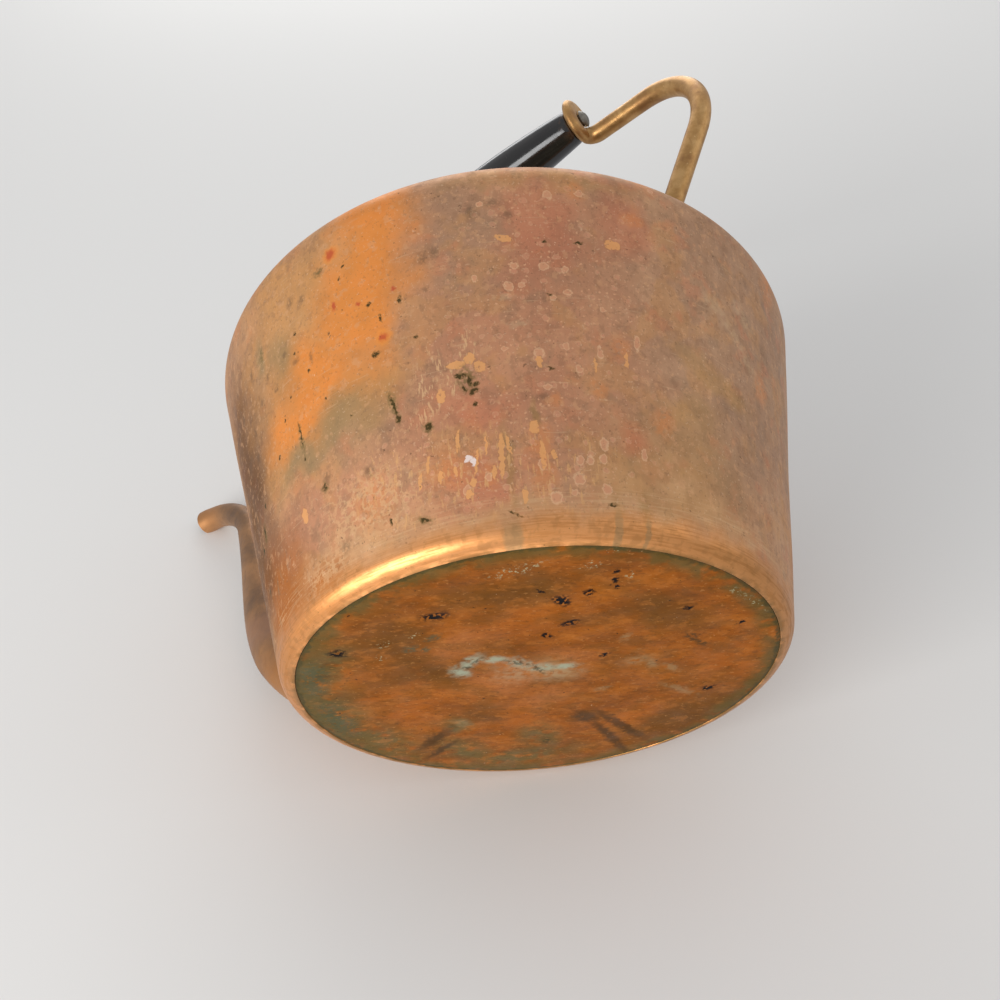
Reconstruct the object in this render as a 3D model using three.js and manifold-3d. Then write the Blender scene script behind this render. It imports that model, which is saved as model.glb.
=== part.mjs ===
// Copper tea kettle: a tapered drum with a rounded foot, a low domed top, a gooseneck spout,
// a swinging brass bail with a black barrel grip, and a cap lid with a turned knob.
// Millimetres, +Z up. The origin is the centre of the flat base, and the spout points along -X.
import * as THREE from 'three';
import { mergeVertices } from 'three/addons/utils/BufferGeometryUtils.js';
import Module from 'manifold-3d';

const wasm = await Module();
wasm.setup();

// Clearances
const seat = 0.3; // left between pieces that touch
const lidSlip = 0.6; // between the lid band and the neck ring
const pivotSlip = 0.35; // around a pin that turns in a hole

// Drum
const sheet = 1.2; // copper sheet
const footRadius = 90; // widest reach of the rounded foot
const footRound = 6;
const shoulderRadius = 114.6; // widest place
const shoulderHeight = 127.4;
const shoulderRound = 12.5;
const domeSlope = THREE.MathUtils.degToRad(25); // where the rounded shoulder runs into the dome

// Base plate
const plateSheet = 1.2;
const plateFlangeHeight = 9; // upturned edge inside the wall
const grooveWidth = 1.6; // open ring between the plate and the turned-under foot

// Domed top and its lap under the drum
const seamInset = 10.6; // from the widest place to the seam
const lapAngle = THREE.MathUtils.degToRad(36); // where the lap ends, from the vertical

// Neck ring
const neckRadius = 57.5; // outside of the ring
const neckSheet = 1.2;
const neckHeight = 9; // above the dome
const neckDrop = 5; // below the dome
const neckBead = 1.1; // rolled top edge
const neckFlange = 4; // collar that rests on the dome
const neckFlangeSheet = 1.2;

// Lid
const lidSheet = 1.1;
const lidBand = 7.5; // height of the side band
const lidEdgeRound = 2.4;
const lidBrim = 11; // flat ring inside the edge
const lidRise = 7; // dome above the brim
const lidBossRim = 1; // flat middle beyond the foot of the knob
const knobStemRadius = 2.6;
const knobFootRadius = 8.5;
const knobNeckRadius = 4.2;
const knobHeadRadius = 11.5;
const knobHeight = 21;
const knobFootHeight = 3;
const washerRadius = 7;
const washerSheet = 1.2;
const knobPeenHeight = 1.6;
const knobPeenRadius = 4.2;

// Gooseneck spout, in the plane of the bail
const spoutSheet = 1.1;
const spoutRootReach = 74; // start of its axis, inside the drum
const spoutRootHeight = 26.5;
const spoutRootRise = THREE.MathUtils.degToRad(21);
const spoutRootPull = 89; // how long the root keeps its direction
const spoutNeckReach = 167.5;
const spoutNeckHeight = 147;
const spoutNeckRise = THREE.MathUtils.degToRad(68.5);
const spoutNeckPull = 72;
const spoutTipReach = 204;
const spoutTipHeight = 168.5;
const spoutTipRise = THREE.MathUtils.degToRad(-1.5);
const spoutCurlPull = 14;
const spoutRootRadius = 22.5;
const spoutBellyRadius = 14.3;
const spoutNeckRadius = 6.1;
const spoutTipRadius = 5.7;
const spoutLip = 0.6; // rolled edge of the mouth

// Bail
const rodRadius = 4.25;
const pivotGap = 2.1; // under the pin's upset end, over the lug foot
const legFootReach = 85; // where the leg would meet the pivot line
const legTopReach = 133; // where the leg and the run would meet
const legTopHeight = 242.5;
const legFootBend = 9; // bend radii on the rod's centre line
const legTopBend = 30;
const eyeBend = 5;
const pinEndRadius = 5.8; // upset end inside the lug
const pinEndLength = 2.4;
const gripLength = 110;
const gripHeight = 260.5;
const gripEndRadius = 8;
const gripMiddleRadius = 11.2;
const spindleRadius = 3;
const spindleHeadRadius = 4.2;
const spindleHeadHeight = 2;
const eyeThickness = 5; // the rod is hammered flat round the spindle
const eyeWidth = 8.2;
const eyeStart = THREE.MathUtils.degToRad(-65);
const eyeSweep = THREE.MathUtils.degToRad(268);
const eyeTipShare = 0.72; // width left at the drawn-down end of the eye
const eyeTaperShare = 0.09; // of the rod's length

// Lugs
const lugGap = 2.5; // from the neck collar to the lug foot
const lugThickness = 5;
const lugRim = 4; // metal around the pivot hole
const lugFootWidth = 12;
const lugFootThickness = 2.4;
const rivetGap = 0.9; // between the ear and the rivet heads
const rivetRadius = 1.6;
const rivetHeadRadius = 3;
const rivetHeadHeight = 1.6;
const rivetBurrHeight = 1.1;

// Smoothness of the round forms
const drumSteps = 44;
const lidSteps = 40;
const smallSteps = 16;
const rivetSteps = 10;
const rodSides = 10;
const rodSpacing = 5; // along the rod
const eyeSteps = 10;
const spoutSides = 16;
const spoutSpacing = 8;

const metal = (color, roughness) => new THREE.MeshStandardMaterial({ color, roughness, metalness: 1 });
const agedCopper = metal(0xae7e61, 0.45);
const bottomCopper = metal(0x8f5630, 0.6);
const spoutCopper = metal(0x94745a, 0.45);
const agedBrass = metal(0x9a7a4c, 0.4);
const lidBrass = metal(0x7b6e4c, 0.45);
const blackLacquer = new THREE.MeshStandardMaterial({ color: 0x1c1b19, roughness: 0.25, metalness: 0 });
const dullSteel = metal(0x77726a, 0.5);

const kettle = new THREE.Group();

function addPiece(name, geometry, material) {
  const mesh = new THREE.Mesh(geometry, material);
  mesh.name = name;
  kettle.add(mesh);
}

// A closed geometry becomes a solid that can be cut and joined
function toSolid(geometry) {
  const bare = geometry.clone();
  bare.deleteAttribute('normal');
  bare.deleteAttribute('uv');
  const merged = mergeVertices(bare, 1e-4);
  const corners = merged.index.array;
  const kept = [];
  for (let i = 0; i < corners.length; i += 3) {
    const [a, b, c] = [corners[i], corners[i + 1], corners[i + 2]];
    if (a !== b && b !== c && c !== a) kept.push(a, b, c);
  }
  const vertProperties = new Float32Array(merged.attributes.position.array);
  const triVerts = new Uint32Array(kept);
  return new wasm.Manifold(new wasm.Mesh({ numProp: 3, vertProperties, triVerts }));
}

function toGeometry(solid) {
  const { vertProperties, triVerts } = solid.getMesh();
  const geometry = new THREE.BufferGeometry();
  geometry.setAttribute('position', new THREE.Float32BufferAttribute(vertProperties, 3));
  geometry.setIndex(new THREE.Uint32BufferAttribute(triVerts, 1));
  geometry.computeVertexNormals();
  return geometry;
}

// Turned form about Z from [radius, height] pairs, counter-clockwise with the radius to the right
function turned(outline, steps) {
  const points = outline.map(([radius, height]) => new THREE.Vector2(radius, height));
  return new THREE.LatheGeometry(points, steps).rotateX(Math.PI / 2);
}

// Points of an arc in the outline's plane, angles from the radius axis
function arc([radius, height], size, from, to, count) {
  const points = [];
  for (let i = 0; i <= count; i++) {
    const angle = from + ((to - from) * i) / count;
    points.push([radius + size * Math.cos(angle), height + size * Math.sin(angle)]);
  }
  return points;
}

// Spherical cap from its rim to the axis, as outline points; a negative rise hangs down
function cap(radius, base, rise, count) {
  const ball = (radius ** 2 + rise ** 2) / (2 * Math.abs(rise));
  const spread = Math.atan2(radius, ball - Math.abs(rise));
  const points = [];
  for (let i = 0; i <= count; i++) {
    const angle = spread * (1 - i / count);
    points.push([ball * Math.sin(angle), base + rise + Math.sign(rise) * ball * (Math.cos(angle) - 1)]);
  }
  return points;
}

const closed = (outline) => [...outline, outline[0]];

// The drum's skin: a rounded foot, a straight wall that touches both rounds, the shoulder, and the dome
const footCentre = [footRadius - footRound, footRound];
const shoulderCentre = [shoulderRadius - shoulderRound, shoulderHeight];
const lean = Math.atan2(shoulderCentre[0] - footCentre[0], shoulderCentre[1] - footCentre[1]);
const centreDistance = Math.hypot(shoulderCentre[0] - footCentre[0], shoulderCentre[1] - footCentre[1]);
const wallTaper = lean + Math.asin((shoulderRound - footRound) / centreDistance);
const domeRadius = shoulderCentre[0] / Math.sin(domeSlope) + shoulderRound;
const domeCentreHeight = shoulderHeight - shoulderCentre[0] / Math.tan(domeSlope);

// Point on the skin at an angle from the vertical, raised outwards by lift
function skinAtAngle(angle, lift) {
  const onDome = angle <= domeSlope;
  const [radius, height] = onDome ? [0, domeCentreHeight] : shoulderCentre;
  const size = (onDome ? domeRadius : shoulderRound) + lift;
  return [radius + size * Math.sin(angle), height + size * Math.cos(angle)];
}

// Angle and height of the skin's upper side at a radius
function domeAngle(radius) {
  if (radius <= domeRadius * Math.sin(domeSlope)) return Math.asin(radius / domeRadius);
  return Math.asin((radius - shoulderCentre[0]) / shoulderRound);
}

const domeHeight = (radius) => skinAtAngle(domeAngle(radius), 0)[1];

// Stretch of the skin between two angles
function skin(from, to, lift, count) {
  const points = [];
  for (let i = 0; i <= count; i++) points.push(skinAtAngle(from + ((to - from) * i) / count, lift));
  return points;
}

// Point of the straight wall at a height, raised outwards by lift
function wallAt(height, lift) {
  const reach = (footRound + lift) / Math.cos(wallTaper);
  return [footCentre[0] + (height - footCentre[1]) * Math.tan(wallTaper) + reach, height];
}

const wallTopAngle = Math.PI / 2 + wallTaper;
const footArc = (lift) => arc(footCentre, footRound + lift, -Math.PI / 2, -wallTaper, 4);
const seamRadius = shoulderRadius - seamInset;
const seamAngle = domeAngle(seamRadius);

// Everything inside the skin, raised outwards by lift, for cutting what sits on it
function insideOfSkin(lift) {
  const outline = [
    [0, -lift],
    ...footArc(lift),
    ...skin(wallTopAngle, domeSlope, lift, 8),
    ...skin(domeSlope, 0, lift, 8).slice(1),
  ];
  return toSolid(turned(outline, drumSteps));
}

// Round bar between two points
function bar(from, to, radius, steps) {
  const axis = new THREE.Vector3().subVectors(to, from);
  const geometry = new THREE.CylinderGeometry(radius, radius, axis.length(), steps);
  const turn = new THREE.Quaternion().setFromUnitVectors(new THREE.Vector3(0, 1, 0), axis.clone().normalize());
  geometry.applyQuaternion(turn);
  geometry.translate(...new THREE.Vector3().addVectors(from, to).multiplyScalar(0.5));
  return toSolid(geometry);
}

// Round section swept along points. Its radius, and how flat it is pressed along X, are given for each
// share of the way and each point's number.
function swept(points, sides, radiusAt, flatnessAt = () => 1) {
  const count = points.length - 1;
  const way = [0];
  for (let i = 1; i <= count; i++) way.push(way[i - 1] + points[i].distanceTo(points[i - 1]));
  const tangents = points.map((point, i) => {
    const [before, after] = [points[Math.max(i - 1, 0)], points[Math.min(i + 1, count)]];
    const arriving = new THREE.Vector3().subVectors(point, before).normalize();
    const leaving = new THREE.Vector3().subVectors(after, point).normalize();
    return arriving.add(leaving).normalize();
  });
  const normal = new THREE.Vector3(0, 1, 0).projectOnPlane(tangents[0]).normalize();
  const position = [];
  const index = [];
  points.forEach((point, i) => {
    if (i) normal.applyQuaternion(new THREE.Quaternion().setFromUnitVectors(tangents[i - 1], tangents[i]));
    const binormal = new THREE.Vector3().crossVectors(tangents[i], normal);
    const share = way[i] / way[count];
    const radius = radiusAt(share, i);
    for (let j = 0; j < sides; j++) {
      const angle = (2 * Math.PI * j) / sides;
      const offset = normal.clone().multiplyScalar(radius * Math.cos(angle));
      offset.addScaledVector(binormal, radius * Math.sin(angle));
      offset.x *= flatnessAt(share, i);
      position.push(...offset.add(point));
    }
  });
  for (let i = 0; i < count; i++) {
    for (let j = 0; j < sides; j++) {
      const [a, b] = [i * sides + j, i * sides + ((j + 1) % sides)];
      index.push(a, b, a + sides, b, b + sides, a + sides);
    }
  }
  const last = count * sides;
  for (let j = 1; j < sides - 1; j++) index.push(0, j + 1, j, last, last + j, last + j + 1);
  const geometry = new THREE.BufferGeometry();
  geometry.setAttribute('position', new THREE.Float32BufferAttribute(position, 3));
  geometry.setIndex(index);
  return toSolid(geometry);
}

// Spout axis: a cubic from the root to the neck, then a cubic round the curl to the mouth
const reachPoint = (reach, height) => new THREE.Vector3(-reach, 0, height);
const pulled = (reach, height, rise, pull) => reachPoint(reach + pull * Math.cos(rise), height + pull * Math.sin(rise));
const gooseneck = new THREE.CurvePath();
gooseneck.add(
  new THREE.CubicBezierCurve3(
    reachPoint(spoutRootReach, spoutRootHeight),
    pulled(spoutRootReach, spoutRootHeight, spoutRootRise, spoutRootPull),
    pulled(spoutNeckReach, spoutNeckHeight, spoutNeckRise, -spoutNeckPull),
    reachPoint(spoutNeckReach, spoutNeckHeight),
  ),
);
gooseneck.add(
  new THREE.CubicBezierCurve3(
    reachPoint(spoutNeckReach, spoutNeckHeight),
    pulled(spoutNeckReach, spoutNeckHeight, spoutNeckRise, spoutCurlPull),
    pulled(spoutTipReach, spoutTipHeight, spoutTipRise, -spoutCurlPull),
    reachPoint(spoutTipReach, spoutTipHeight),
  ),
);
const spoutLength = gooseneck.getLength();
const spoutSteps = Math.round(spoutLength / spoutSpacing);
const spoutNeckShare = gooseneck.curves[0].getLength() / spoutLength;
const spoutBellyShare = spoutNeckShare * 0.45;

// Outer radius of the spout at a share of its length: flared root, slow taper, slim curl, rolled mouth
function spoutRadius(share) {
  const { smoothstep, lerp } = THREE.MathUtils;
  if (share < spoutBellyShare) {
    const flare = (1 - share / spoutBellyShare) ** 1.6;
    return spoutBellyRadius + (spoutRootRadius - spoutBellyRadius) * flare;
  }
  if (share < spoutNeckShare) {
    return lerp(spoutBellyRadius, spoutNeckRadius, (share - spoutBellyShare) / (spoutNeckShare - spoutBellyShare));
  }
  const slim = lerp(spoutNeckRadius, spoutTipRadius, smoothstep(share, spoutNeckShare, 1));
  return slim + spoutLip * smoothstep(share, 1 - 1.5 * spoutTipRadius / spoutLength, 1);
}

const spoutPoints = gooseneck.getSpacedPoints(spoutSteps);
const beyond = (end, next) => end.clone().multiplyScalar(2).sub(next);
const borePoints = [
  beyond(spoutPoints[0], spoutPoints[1]),
  ...spoutPoints,
  beyond(spoutPoints[spoutSteps], spoutPoints[spoutSteps - 1]),
];
const boreShare = (share) => THREE.MathUtils.clamp((share * (spoutSteps + 2) - 1) / spoutSteps, 0, 1);
const spoutBore = swept(borePoints, spoutSides, (share) => spoutRadius(boreShare(share)) - spoutSheet);
const spoutShell = swept(spoutPoints, spoutSides, spoutRadius).subtract(spoutBore);
addPiece('spout', toGeometry(spoutShell.subtract(insideOfSkin(seat))), spoutCopper);

// Drum wall: foot turned under, taper, rounded shoulder and its edge over the dome
const drumOutline = closed([
  ...footArc(0),
  ...skin(wallTopAngle, domeSlope, 0, 7),
  skinAtAngle(seamAngle, 0),
  skinAtAngle(seamAngle, -sheet),
  ...skin(domeSlope, wallTopAngle, -sheet, 7),
  ...footArc(-sheet).reverse(),
]);
addPiece('body_wall', toGeometry(toSolid(turned(drumOutline, drumSteps)).subtract(spoutBore)), agedCopper);

// Base plate: flat pan, joggled up at the groove, with its edge turned up inside the foot and the wall
const underFoot = sheet + seat;
const plateRadius = footCentre[0] - grooveWidth;
const joggleEnd = footCentre[0] - seat;
const joggleSlope = Math.atan2(underFoot, joggleEnd - plateRadius);
const joggleOffset = plateSheet * Math.tan(joggleSlope / 2);
const panOutline = [
  [0, 0],
  [plateRadius, 0],
  [joggleEnd, underFoot],
  ...footArc(-underFoot),
  wallAt(plateFlangeHeight, -underFoot),
  wallAt(plateFlangeHeight, -underFoot - plateSheet),
  ...footArc(-underFoot - plateSheet).reverse(),
  [joggleEnd - joggleOffset, underFoot + plateSheet],
  [plateRadius - joggleOffset, plateSheet],
  [0, plateSheet],
];
addPiece('base_plate', turned(panOutline, drumSteps), bottomCopper);

// Rivets through the lug feet, each square to the dome
const lugReach = neckRadius + neckFlange + lugGap + lugFootWidth / 2;
const pivotHole = rodRadius + pivotSlip;
const earRadius = pivotHole + lugRim;
const rivetReach = earRadius + rivetGap + rivetHeadRadius;

function rivetFrames(side) {
  return [-1, 1].map((hand) => {
    const x = side * lugReach;
    const y = hand * rivetReach;
    const normal = new THREE.Vector3(x, y, domeHeight(Math.hypot(x, y)) - domeCentreHeight).normalize();
    const surface = new THREE.Vector3(0, 0, domeCentreHeight).addScaledVector(normal, domeRadius);
    return { normal, surface };
  });
}

const along = ({ surface, normal }, distance) => surface.clone().addScaledVector(normal, distance);

function rivetHole(frame) {
  return bar(along(frame, -2 * sheet - lugThickness), along(frame, 2 * lugFootThickness), rivetRadius + seat, rivetSteps);
}

// Domed top: its edge is joggled down to lap under the drum's shoulder
const lapLift = -sheet - seat;
const domeEdgeAngle = domeAngle(seamRadius - seat);
const domeInnerAngle = domeAngle(neckRadius + 2 * seat);
const joggleInnerAngle = domeAngle(seamRadius - seat - sheet);
const domeOutline = closed([
  skinAtAngle(lapAngle, lapLift),
  ...skin(domeSlope, seamAngle, lapLift, 1),
  skinAtAngle(domeEdgeAngle, lapLift + sheet / 2),
  ...skin(domeEdgeAngle, domeInnerAngle, 0, 5),
  ...skin(domeInnerAngle, joggleInnerAngle, -sheet, 5),
  skinAtAngle(joggleInnerAngle, lapLift - sheet),
  ...skin(seamAngle, domeSlope, lapLift - sheet, 1),
  skinAtAngle(lapAngle, lapLift - sheet),
]);
let domeSolid = toSolid(turned(domeOutline, drumSteps));
for (const frame of [...rivetFrames(-1), ...rivetFrames(1)]) domeSolid = domeSolid.subtract(rivetHole(frame));
addPiece('shoulder_dome', toGeometry(domeSolid), agedCopper);

// Neck ring: stands through the dome, with a collar on it and a rolled top edge
const collarRadius = neckRadius + neckFlange;
const collarLow = domeHeight(neckRadius) + seat;
const neckTop = domeHeight(neckRadius) + neckHeight;
const neckInner = neckRadius - neckSheet;
const neckOutline = closed([
  [neckInner, domeHeight(neckRadius) - neckDrop],
  [neckRadius, domeHeight(neckRadius) - neckDrop],
  [neckRadius, collarLow],
  [collarRadius, domeHeight(collarRadius) + seat],
  [collarRadius, domeHeight(collarRadius) + seat + neckFlangeSheet],
  [neckRadius, collarLow + neckFlangeSheet],
  [neckRadius, neckTop - 2 * neckBead],
  ...arc([neckRadius, neckTop - neckBead], neckBead, -Math.PI / 4, Math.PI / 2, 3),
  [neckInner, neckTop],
]);
addPiece('neck_ring', turned(neckOutline, lidSteps), agedCopper);

// Lid: a cap whose band slips over the neck ring
const bandInner = neckRadius + neckBead + lidSlip;
const lidRadius = bandInner + lidSheet;
const lidUnder = neckTop + seat;
const lidTop = lidUnder + lidSheet;
const bandLow = lidTop - lidBand;
const brimInner = lidRadius - lidBrim;
const stemHole = knobStemRadius + seat;

// The lid's face swells from the flat brim to a flat boss under the knob
const bossRadius = Math.max(knobFootRadius, washerRadius) + lidBossRim;

function lidFace(base) {
  const points = [];
  const count = 5;
  for (let i = 0; i <= count; i++) {
    const share = i / count;
    const height = base + lidRise * (0.5 - 0.5 * Math.cos(Math.PI * share));
    points.push([brimInner + (bossRadius - brimInner) * share, height]);
  }
  return [...points, [stemHole, base + lidRise]];
}

const lidOutline = closed([
  [bandInner, bandLow],
  [lidRadius, bandLow],
  ...arc([lidRadius - lidEdgeRound, lidTop - lidEdgeRound], lidEdgeRound, 0, Math.PI / 2, 3),
  ...lidFace(lidTop),
  ...lidFace(lidUnder).reverse(),
  [bandInner - lidEdgeRound / 2, lidUnder],
  [bandInner, lidUnder - lidEdgeRound / 2],
]);
addPiece('lid_cap', turned(lidOutline, lidSteps), lidBrass);

// Knob: a mushroom on a waisted foot, with its stem peened over a washer under the lid
const knobSeat = lidTop + lidRise + seat;
const underCrown = lidUnder + lidRise - seat;
const washerLow = underCrown - washerSheet;
const peenTop = washerLow - seat;
const headHalf = (knobHeight - knobFootHeight) / 3;
const headCentre = knobSeat + knobHeight - headHalf;
const headRound = arc([0, 0], 1, -Math.PI / 3, Math.PI / 2, 5).slice(0, -1);
const knobOutline = [
  ...cap(knobPeenRadius, peenTop, -knobPeenHeight, 2).reverse(),
  [knobStemRadius, peenTop],
  [knobStemRadius, knobSeat],
  [knobFootRadius, knobSeat],
  [knobFootRadius, knobSeat + knobFootHeight / 2],
  [knobNeckRadius, knobSeat + knobFootHeight],
  [knobNeckRadius, headCentre - headHalf],
  ...headRound.map(([reach, height]) => [knobHeadRadius * reach, headCentre + headHalf * height]),
  [0, headCentre + headHalf],
];
addPiece('lid_knob', turned(knobOutline, smallSteps), agedBrass);

const washerOutline = closed([
  [knobStemRadius + seat, washerLow],
  [washerRadius, washerLow],
  [washerRadius, underCrown],
  [knobStemRadius + seat, underCrown],
]);
addPiece('knob_washer', turned(washerOutline, smallSteps), agedBrass);

// A bend of the rod: points on an arc that rounds the corner between two straight stretches
function bend(before, corner, after, radius) {
  const arriving = new THREE.Vector3().subVectors(corner, before).normalize();
  const leaving = new THREE.Vector3().subVectors(after, corner).normalize();
  const turn = arriving.angleTo(leaving);
  const cut = radius * Math.tan(turn / 2);
  const inward = leaving.clone().addScaledVector(arriving, -Math.cos(turn)).normalize();
  const start = corner.clone().addScaledVector(arriving, -cut);
  const count = Math.max(3, Math.ceil((turn * radius) / rodSpacing));
  const points = [];
  for (let i = 0; i <= count; i++) {
    const angle = (turn * i) / count;
    const point = start.clone().addScaledVector(arriving, radius * Math.sin(angle));
    points.push(point.addScaledVector(inward, radius * (1 - Math.cos(angle))));
  }
  return points;
}

const pivotHeight = domeHeight(lugReach) + seat + lugFootThickness + pinEndRadius + pivotGap;
const eyeReach = gripLength / 2 + seat + eyeThickness / 2;
const eyeRadius = spindleRadius + pivotSlip + eyeWidth / 2; // centre line of the eye
const pinInner = lugReach - lugThickness / 2 - seat - pinEndLength;
const pinShoulder = lugReach - lugThickness / 2 - seat;

// Bail arm: pin through the lug, leg leaning out, top bend, run back to the grip, eye round the spindle
function armSolid(side) {
  const pin = new THREE.Vector3(side * pinInner, 0, pivotHeight);
  const foot = new THREE.Vector3(side * legFootReach, 0, pivotHeight);
  const top = new THREE.Vector3(side * legTopReach, 0, legTopHeight);
  const eyePoint = (angle) =>
    new THREE.Vector3(side * eyeReach, eyeRadius * Math.cos(angle), gripHeight + eyeRadius * Math.sin(angle));
  const entry = eyePoint(eyeStart);
  const entryWay = new THREE.Vector3(0, Math.sin(eyeStart), -Math.cos(eyeStart));
  const approach = entry.clone().addScaledVector(entryWay, -eyeBend);
  const points = [pin, ...bend(pin, foot, top, legFootBend), ...bend(foot, top, approach, legTopBend)];
  const roundEnd = points.length - 1;
  points.push(...bend(top, approach, entry, eyeBend).slice(0, -1));
  for (let i = 0; i <= eyeSteps; i++) points.push(eyePoint(eyeStart - (eyeSweep * i) / eyeSteps));
  const { smoothstep, lerp } = THREE.MathUtils;
  const radiusAt = (share, i) => {
    const full = i > roundEnd ? eyeWidth / 2 : rodRadius;
    return full * lerp(1, eyeTipShare, smoothstep(share, 1 - eyeTaperShare, 1));
  };
  const flatnessAt = (share, i) => (i > roundEnd ? eyeThickness / eyeWidth : 1);
  const rod = swept(points, rodSides, radiusAt, flatnessAt);
  const headEnd = new THREE.Vector3(side * pinShoulder, 0, pivotHeight);
  return rod.add(bar(pin, headEnd, pinEndRadius, smallSteps));
}

addPiece('front_arm', toGeometry(armSolid(-1)), agedBrass);
addPiece('rear_arm', toGeometry(armSolid(1)), agedBrass);

// Grip and its spindle, turned about Z and laid along X
const laidAlongX = (geometry) => geometry.rotateY(Math.PI / 2).translate(0, 0, gripHeight);
const gripHalf = gripLength / 2;
const gripBore = spindleRadius + pivotSlip;
const gripSide = [];
const gripRings = 10;
for (let i = 0; i <= gripRings; i++) {
  const place = -1 + (2 * i) / gripRings;
  const radius = gripEndRadius + (gripMiddleRadius - gripEndRadius) * Math.cos((Math.PI / 2) * place) ** 0.9;
  gripSide.push([i % gripRings ? radius : gripEndRadius, place * gripHalf]);
}
const gripOutline = closed([[gripBore, -gripHalf], ...gripSide, [gripBore, gripHalf]]);
addPiece('grip', laidAlongX(turned(gripOutline, smallSteps)), blackLacquer);

const eyeOuter = eyeReach + eyeThickness / 2 + seat;
const spindleOutline = [
  ...cap(spindleHeadRadius, -eyeOuter, -spindleHeadHeight, 2).reverse(),
  [spindleRadius, -eyeOuter],
  [spindleRadius, eyeOuter],
  ...cap(spindleHeadRadius, eyeOuter, spindleHeadHeight, 2),
];
addPiece('grip_spindle', laidAlongX(turned(spindleOutline, smallSteps)), dullSteel);

// Lug: an upright ear with the pivot hole on an oblong foot that follows the dome
const footTop = insideOfSkin(seat + lugFootThickness);
const footBottom = insideOfSkin(seat);

function lugSolid(side) {
  const foot = new THREE.Shape();
  foot.absarc(0, rivetReach, lugFootWidth / 2, 0, Math.PI, false);
  foot.absarc(0, -rivetReach, lugFootWidth / 2, Math.PI, 2 * Math.PI, false);
  const footDepth = 6 * lugFootThickness;
  const footPrism = new THREE.ExtrudeGeometry(foot, { depth: footDepth, bevelEnabled: false, curveSegments: 8 });
  const tilt = side * domeAngle(lugReach);
  footPrism.translate(0, 0, -footDepth / 2).rotateY(tilt).translate(side * lugReach, 0, domeHeight(lugReach));
  const ear = new THREE.Shape();
  const earDrop = pivotHeight - domeHeight(lugReach) + lugFootThickness;
  ear.absarc(0, 0, earRadius, 0, Math.PI, false);
  ear.lineTo(-earRadius, -earDrop);
  ear.lineTo(earRadius, -earDrop);
  const earPlate = new THREE.ExtrudeGeometry(ear, { depth: lugThickness, bevelEnabled: false, curveSegments: 10 });
  earPlate.translate(0, 0, -lugThickness / 2).rotateX(Math.PI / 2).rotateZ(Math.PI / 2);
  earPlate.translate(side * lugReach, 0, pivotHeight);
  const inner = new THREE.Vector3(side * (lugReach - lugThickness), 0, pivotHeight);
  const outer = new THREE.Vector3(side * (lugReach + lugThickness), 0, pivotHeight);
  let lug = toSolid(footPrism).intersect(footTop).add(toSolid(earPlate)).subtract(footBottom);
  lug = lug.subtract(bar(inner, outer, pivotHole, smallSteps));
  for (const frame of rivetFrames(side)) lug = lug.subtract(rivetHole(frame));
  return lug;
}

addPiece('front_lug', toGeometry(lugSolid(-1)), agedBrass);
addPiece('rear_lug', toGeometry(lugSolid(1)), agedBrass);

// Rivet: domed head on the lug foot, shank through the dome, burr under it
const headLow = 2 * seat + lugFootThickness;
const burrTop = -sheet - seat;
const rivetOutline = [
  [0, burrTop - rivetBurrHeight],
  [rivetHeadRadius, burrTop - rivetBurrHeight],
  [rivetHeadRadius, burrTop],
  [rivetRadius, burrTop],
  [rivetRadius, headLow],
  ...cap(rivetHeadRadius, headLow, rivetHeadHeight, 2),
];
for (const [side, end] of [[-1, 'front'], [1, 'rear']]) {
  rivetFrames(side).forEach((frame, i) => {
    const rivet = turned(rivetOutline, rivetSteps);
    const turn = new THREE.Quaternion().setFromUnitVectors(new THREE.Vector3(0, 0, 1), frame.normal);
    rivet.applyQuaternion(turn).translate(...frame.surface);
    addPiece(`${end}_lug_rivet_${i + 1}`, rivet, agedBrass);
  });
}

export default kettle;
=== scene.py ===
# Copper tea kettle with a brass bail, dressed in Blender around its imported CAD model.
# Sizes are millimetres, in the CAD's own frame: +Z up, the spout along -X, the base on z = 0.
import math

import bmesh
import bpy
from mathutils import Matrix, Vector, noise


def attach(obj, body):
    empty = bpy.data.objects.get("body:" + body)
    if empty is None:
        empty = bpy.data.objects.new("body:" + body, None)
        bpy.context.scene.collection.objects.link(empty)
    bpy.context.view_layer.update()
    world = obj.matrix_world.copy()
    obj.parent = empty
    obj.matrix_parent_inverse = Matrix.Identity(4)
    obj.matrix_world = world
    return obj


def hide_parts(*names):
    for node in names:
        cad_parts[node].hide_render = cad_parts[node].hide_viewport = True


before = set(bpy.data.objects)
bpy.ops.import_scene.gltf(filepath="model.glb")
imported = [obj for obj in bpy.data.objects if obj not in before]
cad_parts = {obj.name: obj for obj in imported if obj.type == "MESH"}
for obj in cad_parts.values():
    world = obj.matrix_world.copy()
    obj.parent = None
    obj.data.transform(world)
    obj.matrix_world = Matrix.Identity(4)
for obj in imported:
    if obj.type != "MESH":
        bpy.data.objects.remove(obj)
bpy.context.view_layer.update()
print("frame loaded:", len(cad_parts), "CAD pieces")

millimetre = 0.001
seat = 0.3  # left between pieces that touch, as in the CAD model


def toLinear(hexText):
    # "#rrggbb" in sRGB to the linear colour that a shader socket takes
    channels = [int(hexText[i : i + 2], 16) / 255 for i in (1, 3, 5)]
    linear = [c / 12.92 if c <= 0.04045 else ((c + 0.055) / 1.055) ** 2.4 for c in channels]
    return (*linear, 1.0)


def addNode(tree, kind, inputs=None, **settings):
    # A shader node of this kind with its settings; each input is a value or the socket that feeds it
    node = tree.nodes.new("ShaderNode" + kind)
    for name, value in settings.items():
        setattr(node, name, value)
    for key, value in (inputs or {}).items():
        socket = node.inputs[key]
        if isinstance(value, bpy.types.NodeSocket):
            tree.links.new(value, socket)
        else:
            socket.default_value = value
    return node


# Shapes in mesh code

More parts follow.
